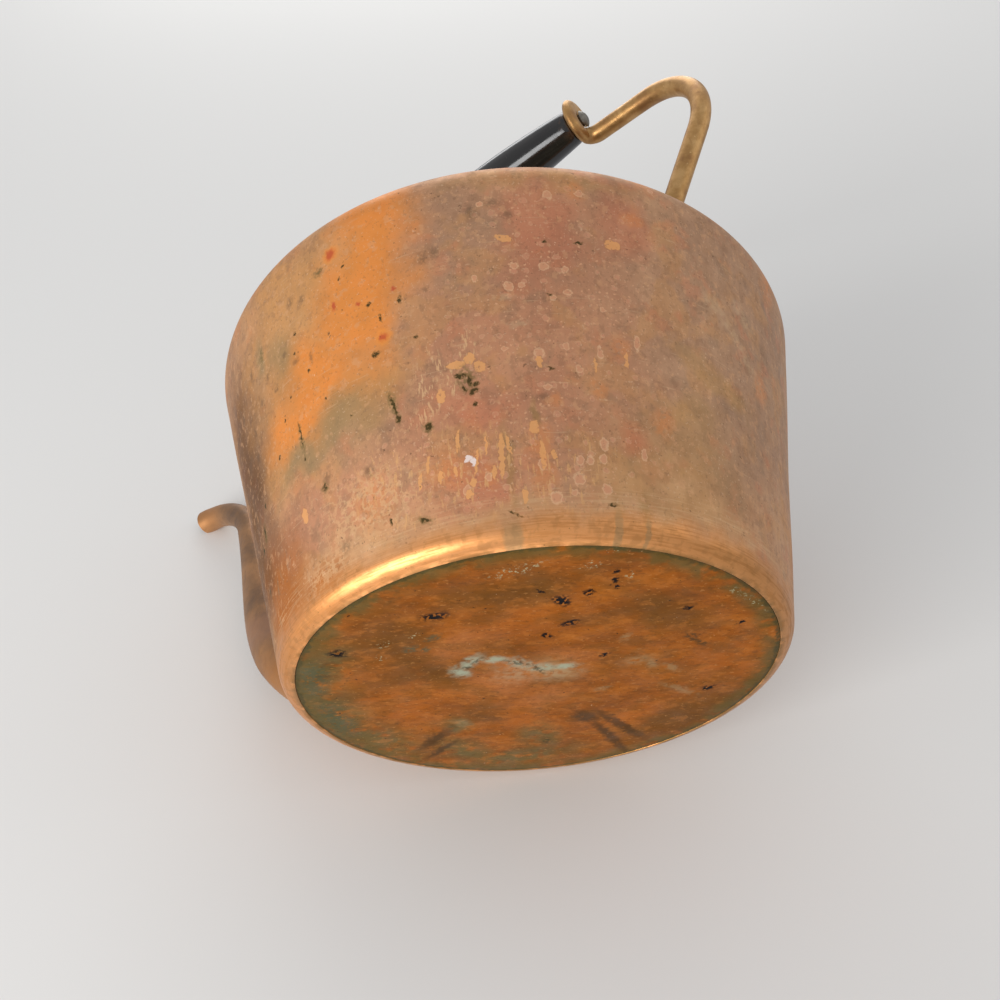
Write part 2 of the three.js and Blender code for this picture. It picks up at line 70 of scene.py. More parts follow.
def arc(centre, size, start, end, count):
    # Points on a round stretch of an outline, angles in radians from the radius axis
    angles = [start + (end - start) * i / count for i in range(count + 1)]
    return [(centre[0] + size * math.cos(a), centre[1] + size * math.sin(a)) for a in angles]


def fullTurn(count):
    return [2 * math.pi * i / count for i in range(count)]


def stretch(start, end, count):
    # Points on a straight stretch of an outline
    return [tuple(a + (b - a) * i / count for a, b in zip(start, end)) for i in range(count + 1)]


def bridged(form, rows, ring=False):
    # Faces between rows of corners, where a row may be one corner; a ring's last row joins its first
    for low, high in zip(rows, rows[1:] + (rows[:1] if ring else [])):
        count = max(len(low), len(high))
        for i in range(count):
            j = (i + 1) % count
            corners = [low[i % len(low)], low[j % len(low)], high[j % len(high)], high[i % len(high)]]
            corners = list(dict.fromkeys(corners))
            if len(corners) > 2:
                form.faces.new(corners)


def turned(outline, steps, ring=False):
    # Form turned about Z from (radius, height) points; a ring's last point joins its first
    form = bmesh.new()
    rows = []
    for radius, height in outline:
        if radius < 1e-6:
            rows.append([form.verts.new((0, 0, height))])
            continue
        turns = fullTurn(steps)
        rows.append([form.verts.new((radius * math.cos(a), radius * math.sin(a), height)) for a in turns])
    bridged(form, rows, ring)
    return form


def wayAlong(points):
    # Length of the line up to each of its points
    way = [0.0]
    for a, b in zip(points, points[1:]):
        way.append(way[-1] + (b - a).length)
    return way


def lineLength(points):
    return wayAlong(points)[-1]


def swept(points, sides, sectionAt):
    # Section swept along points; sectionAt(share) gives its radius and its flatness along X
    form = bmesh.new()
    way = wayAlong(points)
    last = len(points) - 1
    tangents = []
    for i in range(last + 1):
        arriving = (points[i] - points[max(i - 1, 0)]).normalized()
        leaving = (points[min(i + 1, last)] - points[i]).normalized()
        tangents.append((arriving + leaving).normalized())
    normal = Vector((0, 1, 0))
    normal = (normal - tangents[0] * normal.dot(tangents[0])).normalized()
    rows = []
    for i, point in enumerate(points):
        if i:
            normal = tangents[i - 1].rotation_difference(tangents[i]) @ normal
        binormal = tangents[i].cross(normal)
        radius, flatness = sectionAt(way[i] / way[last])
        row = []
        for angle in fullTurn(sides):
            offset = normal * (radius * math.cos(angle)) + binormal * (radius * math.sin(angle))
            offset.x *= flatness
            row.append(form.verts.new(point + offset))
        rows.append(row)
    bridged(form, rows)
    form.faces.new(rows[0][::-1])
    form.faces.new(rows[last])
    return form


def linked(name, data):
    # New object in the scene
    thing = bpy.data.objects.new(name, data)
    bpy.context.scene.collection.objects.link(thing)
    return thing


def inMetres(form, name):
    # A form in millimetres as an object in metres
    bmesh.ops.scale(form, vec=(millimetre,) * 3, verts=form.verts)
    mesh = bpy.data.meshes.new(name)
    form.to_mesh(mesh)
    form.free()
    return linked(name, mesh)


def placed(form, name):
    # A closed form as an object, its faces turned outwards
    form.normal_update()
    bmesh.ops.recalc_face_normals(form, faces=form.faces)
    return inMetres(form, name)


def carve(piece, *tools):
    # Cuts the tools out of the piece and removes them
    for tool in tools:
        cutter = piece.modifiers.new("cut", "BOOLEAN")
        cutter.operation = "DIFFERENCE"
        cutter.solver = "EXACT"
        cutter.object = tool
    bpy.context.view_layer.update()
    cut = bpy.data.meshes.new_from_object(piece.evaluated_get(bpy.context.evaluated_depsgraph_get()))
    cut.name = piece.name
    piece.modifiers.clear()
    piece.data = cut
    for tool in tools:
        bpy.data.objects.remove(tool)
    return piece


def dress(piece, body, node, material, crease=38):
    # Puts a finished piece on its body in place of its CAD node
    piece.data.materials.clear()
    piece.data.materials.append(material)
    piece.data.shade_smooth()
    piece.data.set_sharp_from_angle(angle=math.radians(crease))
    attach(piece, body)
    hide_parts(node)


# Drum: the skin is a rounded foot, a straight wall, a rounded shoulder and a shallow dome
drum = {
    "sheet": 1.2,
    "footRadius": 90,
    "footRound": 6,
    "shoulderRadius": 114.6,
    "shoulderHeight": 127.4,
    "shoulderRound": 12.5,
    "domeSlope": math.radians(25),
    "seamInset": 10.6,
    "lapAngle": math.radians(36),
    "steps": 224,
    "dents": 0.35,  # how far the sheet waves in and out by hand
    "dentSize": 42,
    "wavedFrom": (10, 30),  # heights between which the waves set in, and those between which they end
    "wavedUpTo": (105, 122),
    "calmReach": 100,  # the sheet lies flat round the spout's root
    "calmSpread": 3000,
    "edgeRound": 0.4,
}
footCentre = (drum["footRadius"] - drum["footRound"], drum["footRound"])
shoulderCentre = (drum["shoulderRadius"] - drum["shoulderRound"], drum["shoulderHeight"])
acrossRounds = shoulderCentre[0] - footCentre[0]
upRounds = shoulderCentre[1] - footCentre[1]
wallTaper = math.atan2(acrossRounds, upRounds) + math.asin(
    (drum["shoulderRound"] - drum["footRound"]) / math.hypot(acrossRounds, upRounds)
)
domeRadius = shoulderCentre[0] / math.sin(drum["domeSlope"]) + drum["shoulderRound"]
domeCentre = drum["shoulderHeight"] - shoulderCentre[0] / math.tan(drum["domeSlope"])


def skinAtAngle(angle, lift):
    # Point on the dome or the shoulder, the angle measured from the vertical
    if angle <= drum["domeSlope"]:
        centre, size = (0, domeCentre), domeRadius + lift
    else:
        centre, size = shoulderCentre, drum["shoulderRound"] + lift
    return (centre[0] + size * math.sin(angle), centre[1] + size * math.cos(angle))


def skin(start, end, lift, count):
    return [skinAtAngle(start + (end - start) * i / count, lift) for i in range(count + 1)]


def domeAngle(radius):
    if radius <= domeRadius * math.sin(drum["domeSlope"]):
        return math.asin(radius / domeRadius)
    return math.asin((radius - shoulderCentre[0]) / drum["shoulderRound"])


def domeHeight(radius):
    return skinAtAngle(domeAngle(radius), 0)[1]


def footArc(lift, count=14):
    return arc(footCentre, drum["footRound"] + lift, -math.pi / 2, -wallTaper, count)


def wallAt(height, lift):
    # Point of the straight wall at a height
    reach = (drum["footRound"] + lift) / math.cos(wallTaper)
    return (footCentre[0] + (height - footCentre[1]) * math.tan(wallTaper) + reach, height)


wallTop = math.pi / 2 + wallTaper
seamRadius = drum["shoulderRadius"] - drum["seamInset"]
seamAngle = domeAngle(seamRadius)


def insideOfSkin(lift):
    outline = [(0, -lift), *footArc(lift), *skin(wallTop, drum["domeSlope"], lift, 24)]
    outline += skin(drum["domeSlope"], 0, lift, 24)[1:]
    return placed(turned(outline, drum["steps"]), "skinTool")


# Spout: a gooseneck in the plane of the bail, on a cubic to the neck and a cubic round the curl
spout = {
    "sheet": 1.1,
    "root": (74, 26.5),  # reach and height where its axis starts, inside the drum
    "rootRise": math.radians(21),
    "rootPull": 89,
    "neck": (167.5, 147),
    "neckRise": math.radians(68.5),
    "neckPull": 72,
    "tip": (204, 168.5),
    "tipRise": math.radians(-1.5),
    "curlPull": 14,
    "rootRadius": 22.5,
    "bellyRadius": 14.3,
    "neckRadius": 6.1,
    "tipRadius": 5.7,
    "lip": 0.6,
    "flare": 1.6,
    "bellyShare": 0.45,  # of the way to the neck
    "lipLength": 1.5,  # in radii of the tip
    "sides": 72,
    "spacing": 2,
}


def smooth(share, start, end):
    s = min(max((share - start) / (end - start), 0), 1)
    return s * s * (3 - 2 * s)


def mix(a, b, share):
    return a + (b - a) * share


def cubic(a, b, c, d, count):
    points = []
    for i in range(count + 1):
        t = i / count
        u = 1 - t
        points.append(a * u**3 + b * (3 * u * u * t) + c * (3 * u * t * t) + d * t**3)
    return points


def spoutPoint(place, rise=0.0, pull=0.0):
    reach, height = place[0] + pull * math.cos(rise), place[1] + pull * math.sin(rise)
    return Vector((-reach, 0, height))


def evenly(points, spacing):
    # The same line with points at an even spacing
    way = wayAlong(points)
    count = round(way[-1] / spacing)
    even, k = [], 0
    for i in range(count + 1):
        target = way[-1] * i / count
        while k < len(way) - 2 and way[k + 1] < target:
            k += 1
        share = (target - way[k]) / (way[k + 1] - way[k])
        even.append(points[k].lerp(points[k + 1], share))
    return even


bodyRun = cubic(
    spoutPoint(spout["root"]),
    spoutPoint(spout["root"], spout["rootRise"], spout["rootPull"]),
    spoutPoint(spout["neck"], spout["neckRise"], -spout["neckPull"]),
    spoutPoint(spout["neck"]),
    240,
)
curlRun = cubic(
    spoutPoint(spout["neck"]),
    spoutPoint(spout["neck"], spout["neckRise"], spout["curlPull"]),
    spoutPoint(spout["tip"], spout["tipRise"], -spout["curlPull"]),
    spoutPoint(spout["tip"]),
    80,
)
spoutLength = lineLength(bodyRun) + lineLength(curlRun)
neckShare = lineLength(bodyRun) / spoutLength
bellyShare = neckShare * spout["bellyShare"]
spoutPoints = evenly(bodyRun + curlRun[1:], spout["spacing"])


def spoutRadius(share):
    # Flared root, slow taper, slim curl, rolled mouth
    if share < bellyShare:
        flare = (1 - share / bellyShare) ** spout["flare"]
        return mix(spout["bellyRadius"], spout["rootRadius"], flare)
    if share < neckShare:
        slimming = (share - bellyShare) / (neckShare - bellyShare)
        return mix(spout["bellyRadius"], spout["neckRadius"], slimming)
    slim = mix(spout["neckRadius"], spout["tipRadius"], smooth(share, neckShare, 1))
    lipStart = 1 - spout["lipLength"] * spout["tipRadius"] / spoutLength
    return slim + spout["lip"] * smooth(share, lipStart, 1)


def spoutBore():
    # One step longer than the spout at both ends
    count = len(spoutPoints) - 1
    before, after = 2 * spoutPoints[0] - spoutPoints[1], 2 * spoutPoints[count] - spoutPoints[count - 1]
    boreShare = lambda share: min(max((share * (count + 2) - 1) / count, 0), 1)
    section = lambda share: (spoutRadius(boreShare(share)) - spout["sheet"], 1)
    return placed(swept([before, *spoutPoints, after], spout["sides"], section), "boreTool")


def waved(form, amount, size, weightAt):
    # Moves the sheet along its radius, as hand work leaves it
    for vertex in form.verts:
        reach = math.hypot(vertex.co.x, vertex.co.y)
        if reach < 1e-6:
            continue
        wave = noise.noise(vertex.co / size) - 0.5
        share = amount * wave * weightAt(vertex.co)
        vertex.co.x += vertex.co.x / reach * share
        vertex.co.y += vertex.co.y / reach * share


def roundedEdge(outer, inner, count=4):
    # Half round from one corner of a sheet's edge to the other
    middle = ((outer[0] + inner[0]) / 2, (outer[1] + inner[1]) / 2)
    size = math.hypot(outer[0] - inner[0], outer[1] - inner[1]) / 2
    start = math.atan2(outer[1] - middle[1], outer[0] - middle[0])
    return arc(middle, size, start, start + math.pi, count)


def drumWall(material):
    edge = drum["edgeRound"]
    footEdge = arc((footCentre[0] + edge, edge), edge, -math.pi, -math.pi / 2, 4)
    outline = [*footEdge, *footArc(0, 18)[1:]]
    outline += stretch(wallAt(outline[-1][1], 0), skinAtAngle(wallTop, 0), 48)[1:]
    outline += skin(wallTop, drum["domeSlope"], 0, 24)[1:]
    outline += [skinAtAngle(seamAngle, 0), skinAtAngle(seamAngle, -drum["sheet"])]
    outline += skin(drum["domeSlope"], wallTop, -drum["sheet"], 24)
    outline += footArc(-drum["sheet"], 18)[::-1]
    form = turned(outline, drum["steps"], ring=True)

    def weightAt(p):
        weight = smooth(p.z, *drum["wavedFrom"]) * (1 - smooth(p.z, *drum["wavedUpTo"]))
        calm = math.exp(-((p.x + drum["calmReach"]) ** 2 + p.y**2) / drum["calmSpread"])
        return weight * (1 - calm if p.x < 0 else 1)

    waved(form, drum["dents"], drum["dentSize"], weightAt)
    piece = carve(placed(form, "drumWall"), spoutBore())
    dress(piece, "kettle_body", "body_wall", material)


def spoutPiece(material):
    section = lambda share: (spoutRadius(share), 1)
    piece = placed(swept(spoutPoints, spout["sides"], section), "gooseneckSpout")
    carve(piece, spoutBore(), insideOfSkin(seat))
    dress(piece, "kettle_body", "spout", material)


# Base plate: a flat pan joggled up at the groove, with its edge turned up inside the foot
base = {
    "sheet": 1.2,
    "flangeHeight": 9,
    "groove": 1.6,
    "grime": [(0.5, 0.05), (1.0, 0.12)],  # out from the flat pan, and up
    "dents": 0.5,
    "dentSize": 38,
    "dentsEnd": (0.8, 0.98),  # they fade out between these shares of the flat pan's radius
}


def basePan(material):
    underFoot = drum["sheet"] + seat
    flat = footCentre[0] - base["groove"]
    joggleEnd = footCentre[0] - seat
    joggleOffset = base["sheet"] * math.tan(math.atan2(underFoot, joggleEnd - flat) / 2)
    outline = stretch((0, 0), (flat, 0), 40)
    # Old grime fills the groove, in a shallow cove up to the turned-under foot
    outline += [(flat + out, up) for out, up in base["grime"]]
    outline += [(joggleEnd + 0.2, 0.2), (joggleEnd + 0.2, 0.6), (joggleEnd, 0.8), (joggleEnd, underFoot)]
    inside = -underFoot - base["sheet"]
    outline += [*footArc(-underFoot), wallAt(base["flangeHeight"], -underFoot)]
    outline += [wallAt(base["flangeHeight"], inside), *footArc(inside)[::-1]]
    outline += [(joggleEnd - joggleOffset, underFoot + base["sheet"])]
    outline += stretch((flat - joggleOffset, base["sheet"]), (0, base["sheet"]), 40)
    form = turned(outline, drum["steps"])
    for vertex in form.verts:
        fade = 1 - smooth(math.hypot(vertex.co.x, vertex.co.y) / flat, *base["dentsEnd"])
        lift = 0.5 + 0.5 * noise.noise(vertex.co / base["dentSize"])
        vertex.co.z += base["dents"] * lift * fade
    piece = placed(form, "basePan")
    dress(piece, "kettle_body", "base_plate", material)


# Domed top: its edge is joggled down to lap under the drum's shoulder
def domedTop(material):
    lap = -drum["sheet"] - seat
    edge = domeAngle(seamRadius - seat)
    hole = domeAngle(neck["radius"] + 2 * seat)
    joggle = domeAngle(seamRadius - seat - drum["sheet"])
    outline = [skinAtAngle(drum["lapAngle"], lap), *skin(drum["domeSlope"], seamAngle, lap, 3)]
    outline += [skinAtAngle(edge, lap + drum["sheet"] / 2)]
    outline += skin(edge, hole, 0, 30)
    outline += skin(hole, joggle, -drum["sheet"], 30)
    under = lap - drum["sheet"]
    outline += [skinAtAngle(joggle, under), *skin(seamAngle, drum["domeSlope"], under, 3)]
    outline += [skinAtAngle(drum["lapAngle"], under)]
    piece = placed(turned(outline, drum["steps"], ring=True), "domedTop")
    dress(piece, "kettle_body", "shoulder_dome", material)


# Neck ring: stands through the dome, with a collar on it and a rolled top edge
neck = {
    "radius": 57.5,
    "sheet": 1.2,
    "height": 9,
    "drop": 5,
    "bead": 1.1,
    "flange": 4,
    "flangeSheet": 1.2,
    "fillet": 0.9,
    "edgeRound": 0.3,
    "steps": 160,
}
neckTop = domeHeight(neck["radius"]) + neck["height"]


def neckRing(material):
    radius, bead, fillet, edge = neck["radius"], neck["bead"], neck["fillet"], neck["edgeRound"]
    inner, collar = radius - neck["sheet"], radius + neck["flange"]
    low, collarTop = domeHeight(radius) - neck["drop"], domeHeight(radius) + seat + neck["flangeSheet"]
    rimLow = domeHeight(collar) + seat
    outline = [(inner, low), (radius, low), (radius, collarTop - neck["flangeSheet"])]
    outline += roundedEdge((collar, rimLow), (collar, rimLow + neck["flangeSheet"]), 6)
    outline += [(radius + fillet, collarTop), (radius, collarTop + fillet), (radius, neckTop - 2 * bead)]
    outline += arc((radius, neckTop - bead), bead, -math.pi / 4, math.pi / 2, 8)
    outline += [(inner + edge, neckTop), (inner, neckTop - edge)]
    piece = placed(turned(outline, neck["steps"], ring=True), "neckRing")
    dress(piece, "kettle_body", "neck_ring", material)


# Lid: a cap whose band slips over the neck ring, and its turned knob
lid = {
    "sheet": 1.1,
    "slip": 0.6,
    "band": 7.5,
    "edgeRound": 2.4,
    "brim": 11,
    "rise": 7,
    "bossRim": 1,
    "stemRadius": 2.6,
    "knobFootRadius": 8.5,
    "knobNeckRadius": 4.2,
    "knobHeadRadius": 11.5,
    "knobHeight": 21,
    "knobFootHeight": 3,
    "washerRadius": 7,
    "washerSheet": 1.2,
    "peenHeight": 1.6,
    "peenRadius": 4.2,
    "crownSteps": 32,
    "steps": 160,
}
bandInner = neck["radius"] + neck["bead"] + lid["slip"]
lidRadius = bandInner + lid["sheet"]
lidUnder = neckTop + seat
lidTop = lidUnder + lid["sheet"]
knobSeat = lidTop + lid["rise"] + seat
underCrown = lidUnder + lid["rise"] - seat


def lidFace(low):
    brimInner = lidRadius - lid["brim"]
    bossRadius = max(lid["knobFootRadius"], lid["washerRadius"]) + lid["bossRim"]
    points = []
    for i in range(lid["crownSteps"] + 1):
        share = i / lid["crownSteps"]
        height = low + lid["rise"] * (0.5 - 0.5 * math.cos(math.pi * share))
        points.append((mix(brimInner, bossRadius, share), height))
    return [*points, (lid["stemRadius"] + seat, low + lid["rise"])]


def lidCap(material):
    edge, bandLow = lid["edgeRound"], lidTop - lid["band"]
    outline = [*roundedEdge((bandInner, bandLow + 0.5), (lidRadius, bandLow + 0.5), 6)]
    outline += arc((lidRadius - edge, lidTop - edge), edge, 0, math.pi / 2, 10)
    outline += lidFace(lidTop) + lidFace(lidUnder)[::-1]
    outline += arc((bandInner - edge / 2, lidUnder - edge / 2), edge / 2, math.pi / 2, 0, 6)
    piece = placed(turned(outline, lid["steps"], ring=True), "lidCap")
    dress(piece, "lid", "lid_cap", material)


def cap(radius, low, rise, count):
    # Spherical cap from its rim to the axis; a negative rise hangs down
    ball = (radius**2 + rise**2) / (2 * abs(rise))
    spread = math.atan2(radius, ball - abs(rise))
    sign = math.copysign(1, rise)
    angles = [spread * (1 - i / count) for i in range(count + 1)]
    return [(ball * math.sin(a), low + rise + sign * ball * (math.cos(a) - 1)) for a in angles]


def lidKnob(material):
    peenTop = underCrown - lid["washerSheet"] - seat
    headHalf = (lid["knobHeight"] - lid["knobFootHeight"]) / 3
    headCentre = knobSeat + lid["knobHeight"] - headHalf
    waist = (lid["knobNeckRadius"] + 2.2, (knobSeat + lid["knobFootHeight"] + headCentre - headHalf) / 2)
    ball = arc((0, 0), 1, -1.12, math.pi / 2, 24)
    head = [(lid["knobHeadRadius"] * reach, headCentre + headHalf * up) for reach, up in ball]
    footRim = lid["knobFootRadius"] - lid["knobFootHeight"] / 4
    outline = cap(lid["peenRadius"], peenTop, -lid["peenHeight"], 6)[::-1]
    outline += [(lid["stemRadius"], peenTop), (lid["stemRadius"], knobSeat)]
    outline += roundedEdge((footRim, knobSeat), (footRim, knobSeat + lid["knobFootHeight"] / 2), 6)
    outline += [(mix(lid["knobFootRadius"], waist[0], 0.6), knobSeat + 2), (waist[0], knobSeat + 3)]
    outline += [(lid["knobNeckRadius"] + 0.4, knobSeat + 4), (lid["knobNeckRadius"], waist[1])]
    outline += [(lid["knobNeckRadius"] + 0.3, headCentre - headHalf)]
    outline += [(radius if radius > 1e-3 else 0, height) for radius, height in head]
    piece = placed(turned(outline, 96), "lidKnob")
    dress(piece, "lid", "lid_knob", material, 50)


def knobWasher(material):
    low, inner = underCrown - lid["washerSheet"], lid["stemRadius"] + seat
    outer = lid["washerRadius"] - lid["washerSheet"] / 2
    rim = roundedEdge((outer, low), (outer, underCrown), 6)
    piece = placed(turned([(inner, low), *rim, (inner, underCrown)], 64, ring=True), "knobWasher")
    dress(piece, "lid", "knob_washer", material)


# Lugs: an upright ear with the pivot hole on an oblong foot riveted to the dome
lug = {
    "gap": 2.5,
    "thickness": 5,
    "rim": 4,
    "footWidth": 12,
    "footThickness": 2.4,
    "rivetGap": 0.9,
    "rivetRadius": 1.6,
    "headRadius": 3,
    "headHeight": 1.6,
    "burrHeight": 1.1,
    "softEdge": 0.7,
    "lowEdge": 0.3,
    "steps": 96,
}
# Bail: brass rod bent to a pin, a leg and a run, and hammered to an eye round the spindle
bail = {
    "rodRadius": 4.25,
    "pivotSlip": 0.35,
    "pivotGap": 2.1,
    "legFootReach": 85,
    "legTopReach": 132.5,  # a hair less than in the CAD, whose rod has flats
    "legTopHeight": 242.5,
    "legFootBend": 9,
    "legTopBend": 30,
    "eyeBend": 5,
    "pinEndRadius": 5.8,
    "pinEndLength": 2.4,
    "pinEndRound": 0.7,
    "gripLength": 110,
    "gripHeight": 260.5,
    "gripEndRadius": 8,
    "gripMiddleRadius": 11.2,
    "gripEndRound": 1.1,
    "spindleRadius": 3,
    "spindleHeadRadius": 4.2,
    "spindleHeadHeight": 2,
    "eyeThickness": 5,
    "eyeWidth": 8.2,
    "eyeStart": math.radians(-65),
    "eyeSweep": math.radians(268),
    "eyeTipShare": 0.72,
    "eyeTaperShare": 0.09,
    "eyeTipRound": 2.4,  # the last stretch is rounded off
    "eyeSteps": 48,
    "pressWay": 6,  # on each side of where the rod goes from round to flat
    "spacing": 1.2,
    "sides": 36,
}
lugReach = neck["radius"] + neck["flange"] + lug["gap"] + lug["footWidth"] / 2
pivotHole = bail["rodRadius"] + bail["pivotSlip"]
earRadius = pivotHole + lug["rim"]
rivetReach = earRadius + lug["rivetGap"] + lug["headRadius"]
pivotHeight = domeHeight(lugReach) + seat + lug["footThickness"] + bail["pinEndRadius"] + bail["pivotGap"]


def lugPiece(side, name, node, material):
    form = bmesh.new()
    count, soft = lug["steps"], lug["softEdge"]
    # Ear, as rings round the pivot line from the hole out
    drop = pivotHeight - domeHeight(lugReach)

    def earReach(angle, inset):
        reach, low = earRadius - inset, drop - inset
        if math.sin(angle) >= 0:
            return reach
        return min(reach / max(abs(math.cos(angle)), 1e-6), low / abs(math.sin(angle)))

    half = lug["thickness"] / 2
    oneSide = [("hole", 0, half - soft), ("hole", soft * 0.7, half), ("outer", soft, half)]
    oneSide += [("outer", soft * 0.3, half - soft * 0.3), ("outer", 0, half - soft)]
    rows = []
    for kind, inset, across in oneSide + [(kind, inset, -across) for kind, inset, across in oneSide[::-1]]:
        row = []
        for angle in fullTurn(count):
            reach = pivotHole + inset if kind == "hole" else earReach(angle, inset)
            place = (side * lugReach + across, reach * math.cos(angle), pivotHeight + reach * math.sin(angle))
            row.append(form.verts.new(place))
        rows.append(row)
    bridged(form, rows, ring=True)
    # Foot, an oblong laid on the dome: each ring is a smaller oblong at its own lift
    width, thick = lug["footWidth"] / 2, lug["footThickness"]
    middle = Vector((side * lugReach, 0, domeHeight(lugReach) - domeCentre))
    out = middle.normalized()
    along = Vector((0, 1, 0))
    across = along.cross(out)
    low = lug["lowEdge"]
    levels = [(0, 0), (width * 0.6, 0), (width - low, 0), (width, low), (width, thick - soft)]
    levels += [(width - soft + x, thick - soft + y) for x, y in arc((0, 0), soft, 0, math.pi / 2, 5)][1:]
    levels += [(width * 0.5, thick), (0, thick)]
    rows = []
    for reach, lift in levels:
        row = []
        for angle in fullTurn(count):
            end = math.copysign(rivetReach, math.sin(angle)) if abs(math.sin(angle)) > 1e-6 else 0
            flat = across * (reach * math.cos(angle)) + along * (reach * math.sin(angle) + end)
            way = (middle + flat).normalized()
            row.append(form.verts.new(Vector((0, 0, domeCentre)) + way * (domeRadius + seat + lift)))
        rows.append(row)
    bridged(form, rows)
    form.faces.new(rows[0][::-1])
    form.faces.new(rows[-1])
    bmesh.ops.remove_doubles(form, verts=form.verts, dist=0.001)
    piece = placed(form, name)
    dress(piece, "kettle_body", node, material)


def rivetPiece(side, hand, name, node, material):
    x, y = side * lugReach, hand * rivetReach
    out = Vector((x, y, domeHeight(math.hypot(x, y)) - domeCentre)).normalized()
    headLow = 2 * seat + lug["footThickness"]
    burrTop = -drum["sheet"] - seat
    burrLow = burrTop - lug["burrHeight"]
    outline = [(0, burrLow), (lug["headRadius"] - 0.4, burrLow)]
    outline += [(lug["headRadius"], (burrLow + burrTop) / 2), (lug["headRadius"], burrTop)]
    outline += [(lug["rivetRadius"], burrTop), (lug["rivetRadius"], headLow)]
    outline += cap(lug["headRadius"], headLow, lug["headHeight"], 8)
    form = turned(outline, 40)
    turn = Vector((0, 0, 1)).rotation_difference(out).to_matrix().to_4x4()
    place = Matrix.Translation(Vector((0, 0, domeCentre)) + out * domeRadius) @ turn
    bmesh.ops.transform(form, matrix=place, verts=form.verts)
    dress(placed(form, name), "kettle_body", node, material)


def bend(before, corner, after, radius):
    # Points on an arc that rounds the corner between two straight stretches
    arriving, leaving = (corner - before).normalized(), (after - corner).normalized()
    turn = arriving.angle(leaving)
    inward = (leaving - arriving * math.cos(turn)).normalized()
    start = corner - arriving * (radius * math.tan(turn / 2))
    count = max(8, math.ceil(turn * radius / bail["spacing"]))
    points = []
    for i in range(count + 1):
        angle = turn * i / count
        points.append(start + (arriving * math.sin(angle) + inward * (1 - math.cos(angle))) * radius)
    return points


eyeReach = bail["gripLength"] / 2 + seat + bail["eyeThickness"] / 2
eyeRadius = bail["spindleRadius"] + bail["pivotSlip"] + bail["eyeWidth"] / 2
pinShoulder = lugReach - lug["thickness"] / 2 - seat
pinInner = pinShoulder - bail["pinEndLength"]


def armPiece(side, name, node, material):
    pin = Vector((side * pinInner, 0, pivotHeight))
    foot = Vector((side * bail["legFootReach"], 0, pivotHeight))
    top = Vector((side * bail["legTopReach"], 0, bail["legTopHeight"]))

    def eyePoint(angle):
        y, z = eyeRadius * math.cos(angle), eyeRadius * math.sin(angle)
        return Vector((side * eyeReach, y, bail["gripHeight"] + z))

    entry = eyePoint(bail["eyeStart"])
    entryWay = Vector((0, math.sin(bail["eyeStart"]), -math.cos(bail["eyeStart"])))
    approach = entry - entryWay * bail["eyeBend"]
    points = [pin, *bend(pin, foot, top, bail["legFootBend"]), *bend(foot, top, approach, bail["legTopBend"])]
    roundWay = lineLength(points)
    points += bend(top, approach, entry, bail["eyeBend"])[:-1]
    steps = bail["eyeSteps"]
    points += [eyePoint(bail["eyeStart"] - bail["eyeSweep"] * i / steps) for i in range(steps + 1)]
    whole = lineLength(points)
    points = evenly(points, bail["spacing"])

    def section(share):
        pressed = smooth(share * whole, roundWay - bail["pressWay"], roundWay + bail["pressWay"])
        full = mix(bail["rodRadius"], bail["eyeWidth"] / 2, pressed)
        radius = full * mix(1, bail["eyeTipShare"], smooth(share, 1 - bail["eyeTaperShare"], 1))
        left = (1 - share) * whole / bail["eyeTipRound"]
        if left < 1:
            radius *= math.sqrt(max(1 - (1 - left) ** 2, 0.02))
        return radius, mix(1, bail["eyeThickness"] / bail["eyeWidth"], pressed)

    form = swept(points, bail["sides"], section)
    # Upset end of the pin, inside the lug
    edge, reach, length = bail["pinEndRound"], bail["pinEndRadius"], bail["pinEndLength"]
    disc = [(0, 0), *arc((reach - edge, edge), edge, -math.pi / 2, 0, 4)]
    disc += [(reach, length - 0.3), (reach - 0.3, length), (0, length)]
    end = turned(disc, 48)
    turn = Matrix.Rotation(side * math.pi / 2, 4, "Y")
    bmesh.ops.transform(end, matrix=Matrix.Translation(pin) @ turn, verts=end.verts)
    merged = bpy.data.meshes.new("pinEnd")
    end.to_mesh(merged)
    end.free()
    form.from_mesh(merged)
    bpy.data.meshes.remove(merged)
    dress(placed(form, name), "bail", node, material, 50)


def laidAlongX(form):
    place = Matrix.Translation((0, 0, bail["gripHeight"])) @ Matrix.Rotation(math.pi / 2, 4, "Y")
    bmesh.ops.transform(form, matrix=place, verts=form.verts)
    return form


def gripPiece(material):
    half, edge = bail["gripLength"] / 2, bail["gripEndRound"]
    bore = bail["spindleRadius"] + bail["pivotSlip"]
    side = []
    rings = 72
    for i in range(1, rings):
        place = -1 + 2 * i / rings
        swell = math.cos(math.pi / 2 * place) ** 0.9
        side.append((mix(bail["gripEndRadius"], bail["gripMiddleRadius"], swell), place * half))
    end = arc((bail["gripEndRadius"] - edge, -half + edge), edge, -math.pi / 2, 0, 6)
    outline = [(bore, -half), *end, *side, *[(radius, -height) for radius, height in end[::-1]], (bore, half)]
    piece = placed(laidAlongX(turned(outline, 96, ring=True)), "barrelGrip")
    dress(piece, "turning_grip", "grip", material)


def spindlePiece(material):
    outer = eyeReach + bail["eyeThickness"] / 2 + seat
    head = cap(bail["spindleHeadRadius"], outer, bail["spindleHeadHeight"], 8)
    outline = [(radius, -height) for radius, height in head[::-1]]
    outline += [(bail["spindleRadius"], -outer), (bail["spindleRadius"], outer), *head]
    piece = placed(laidAlongX(turned(outline, 48)), "gripSpindle")
    dress(piece, "bail", "grip_spindle", material)


# Surfaces: object coordinates in millimetres, so that every pattern has its real size

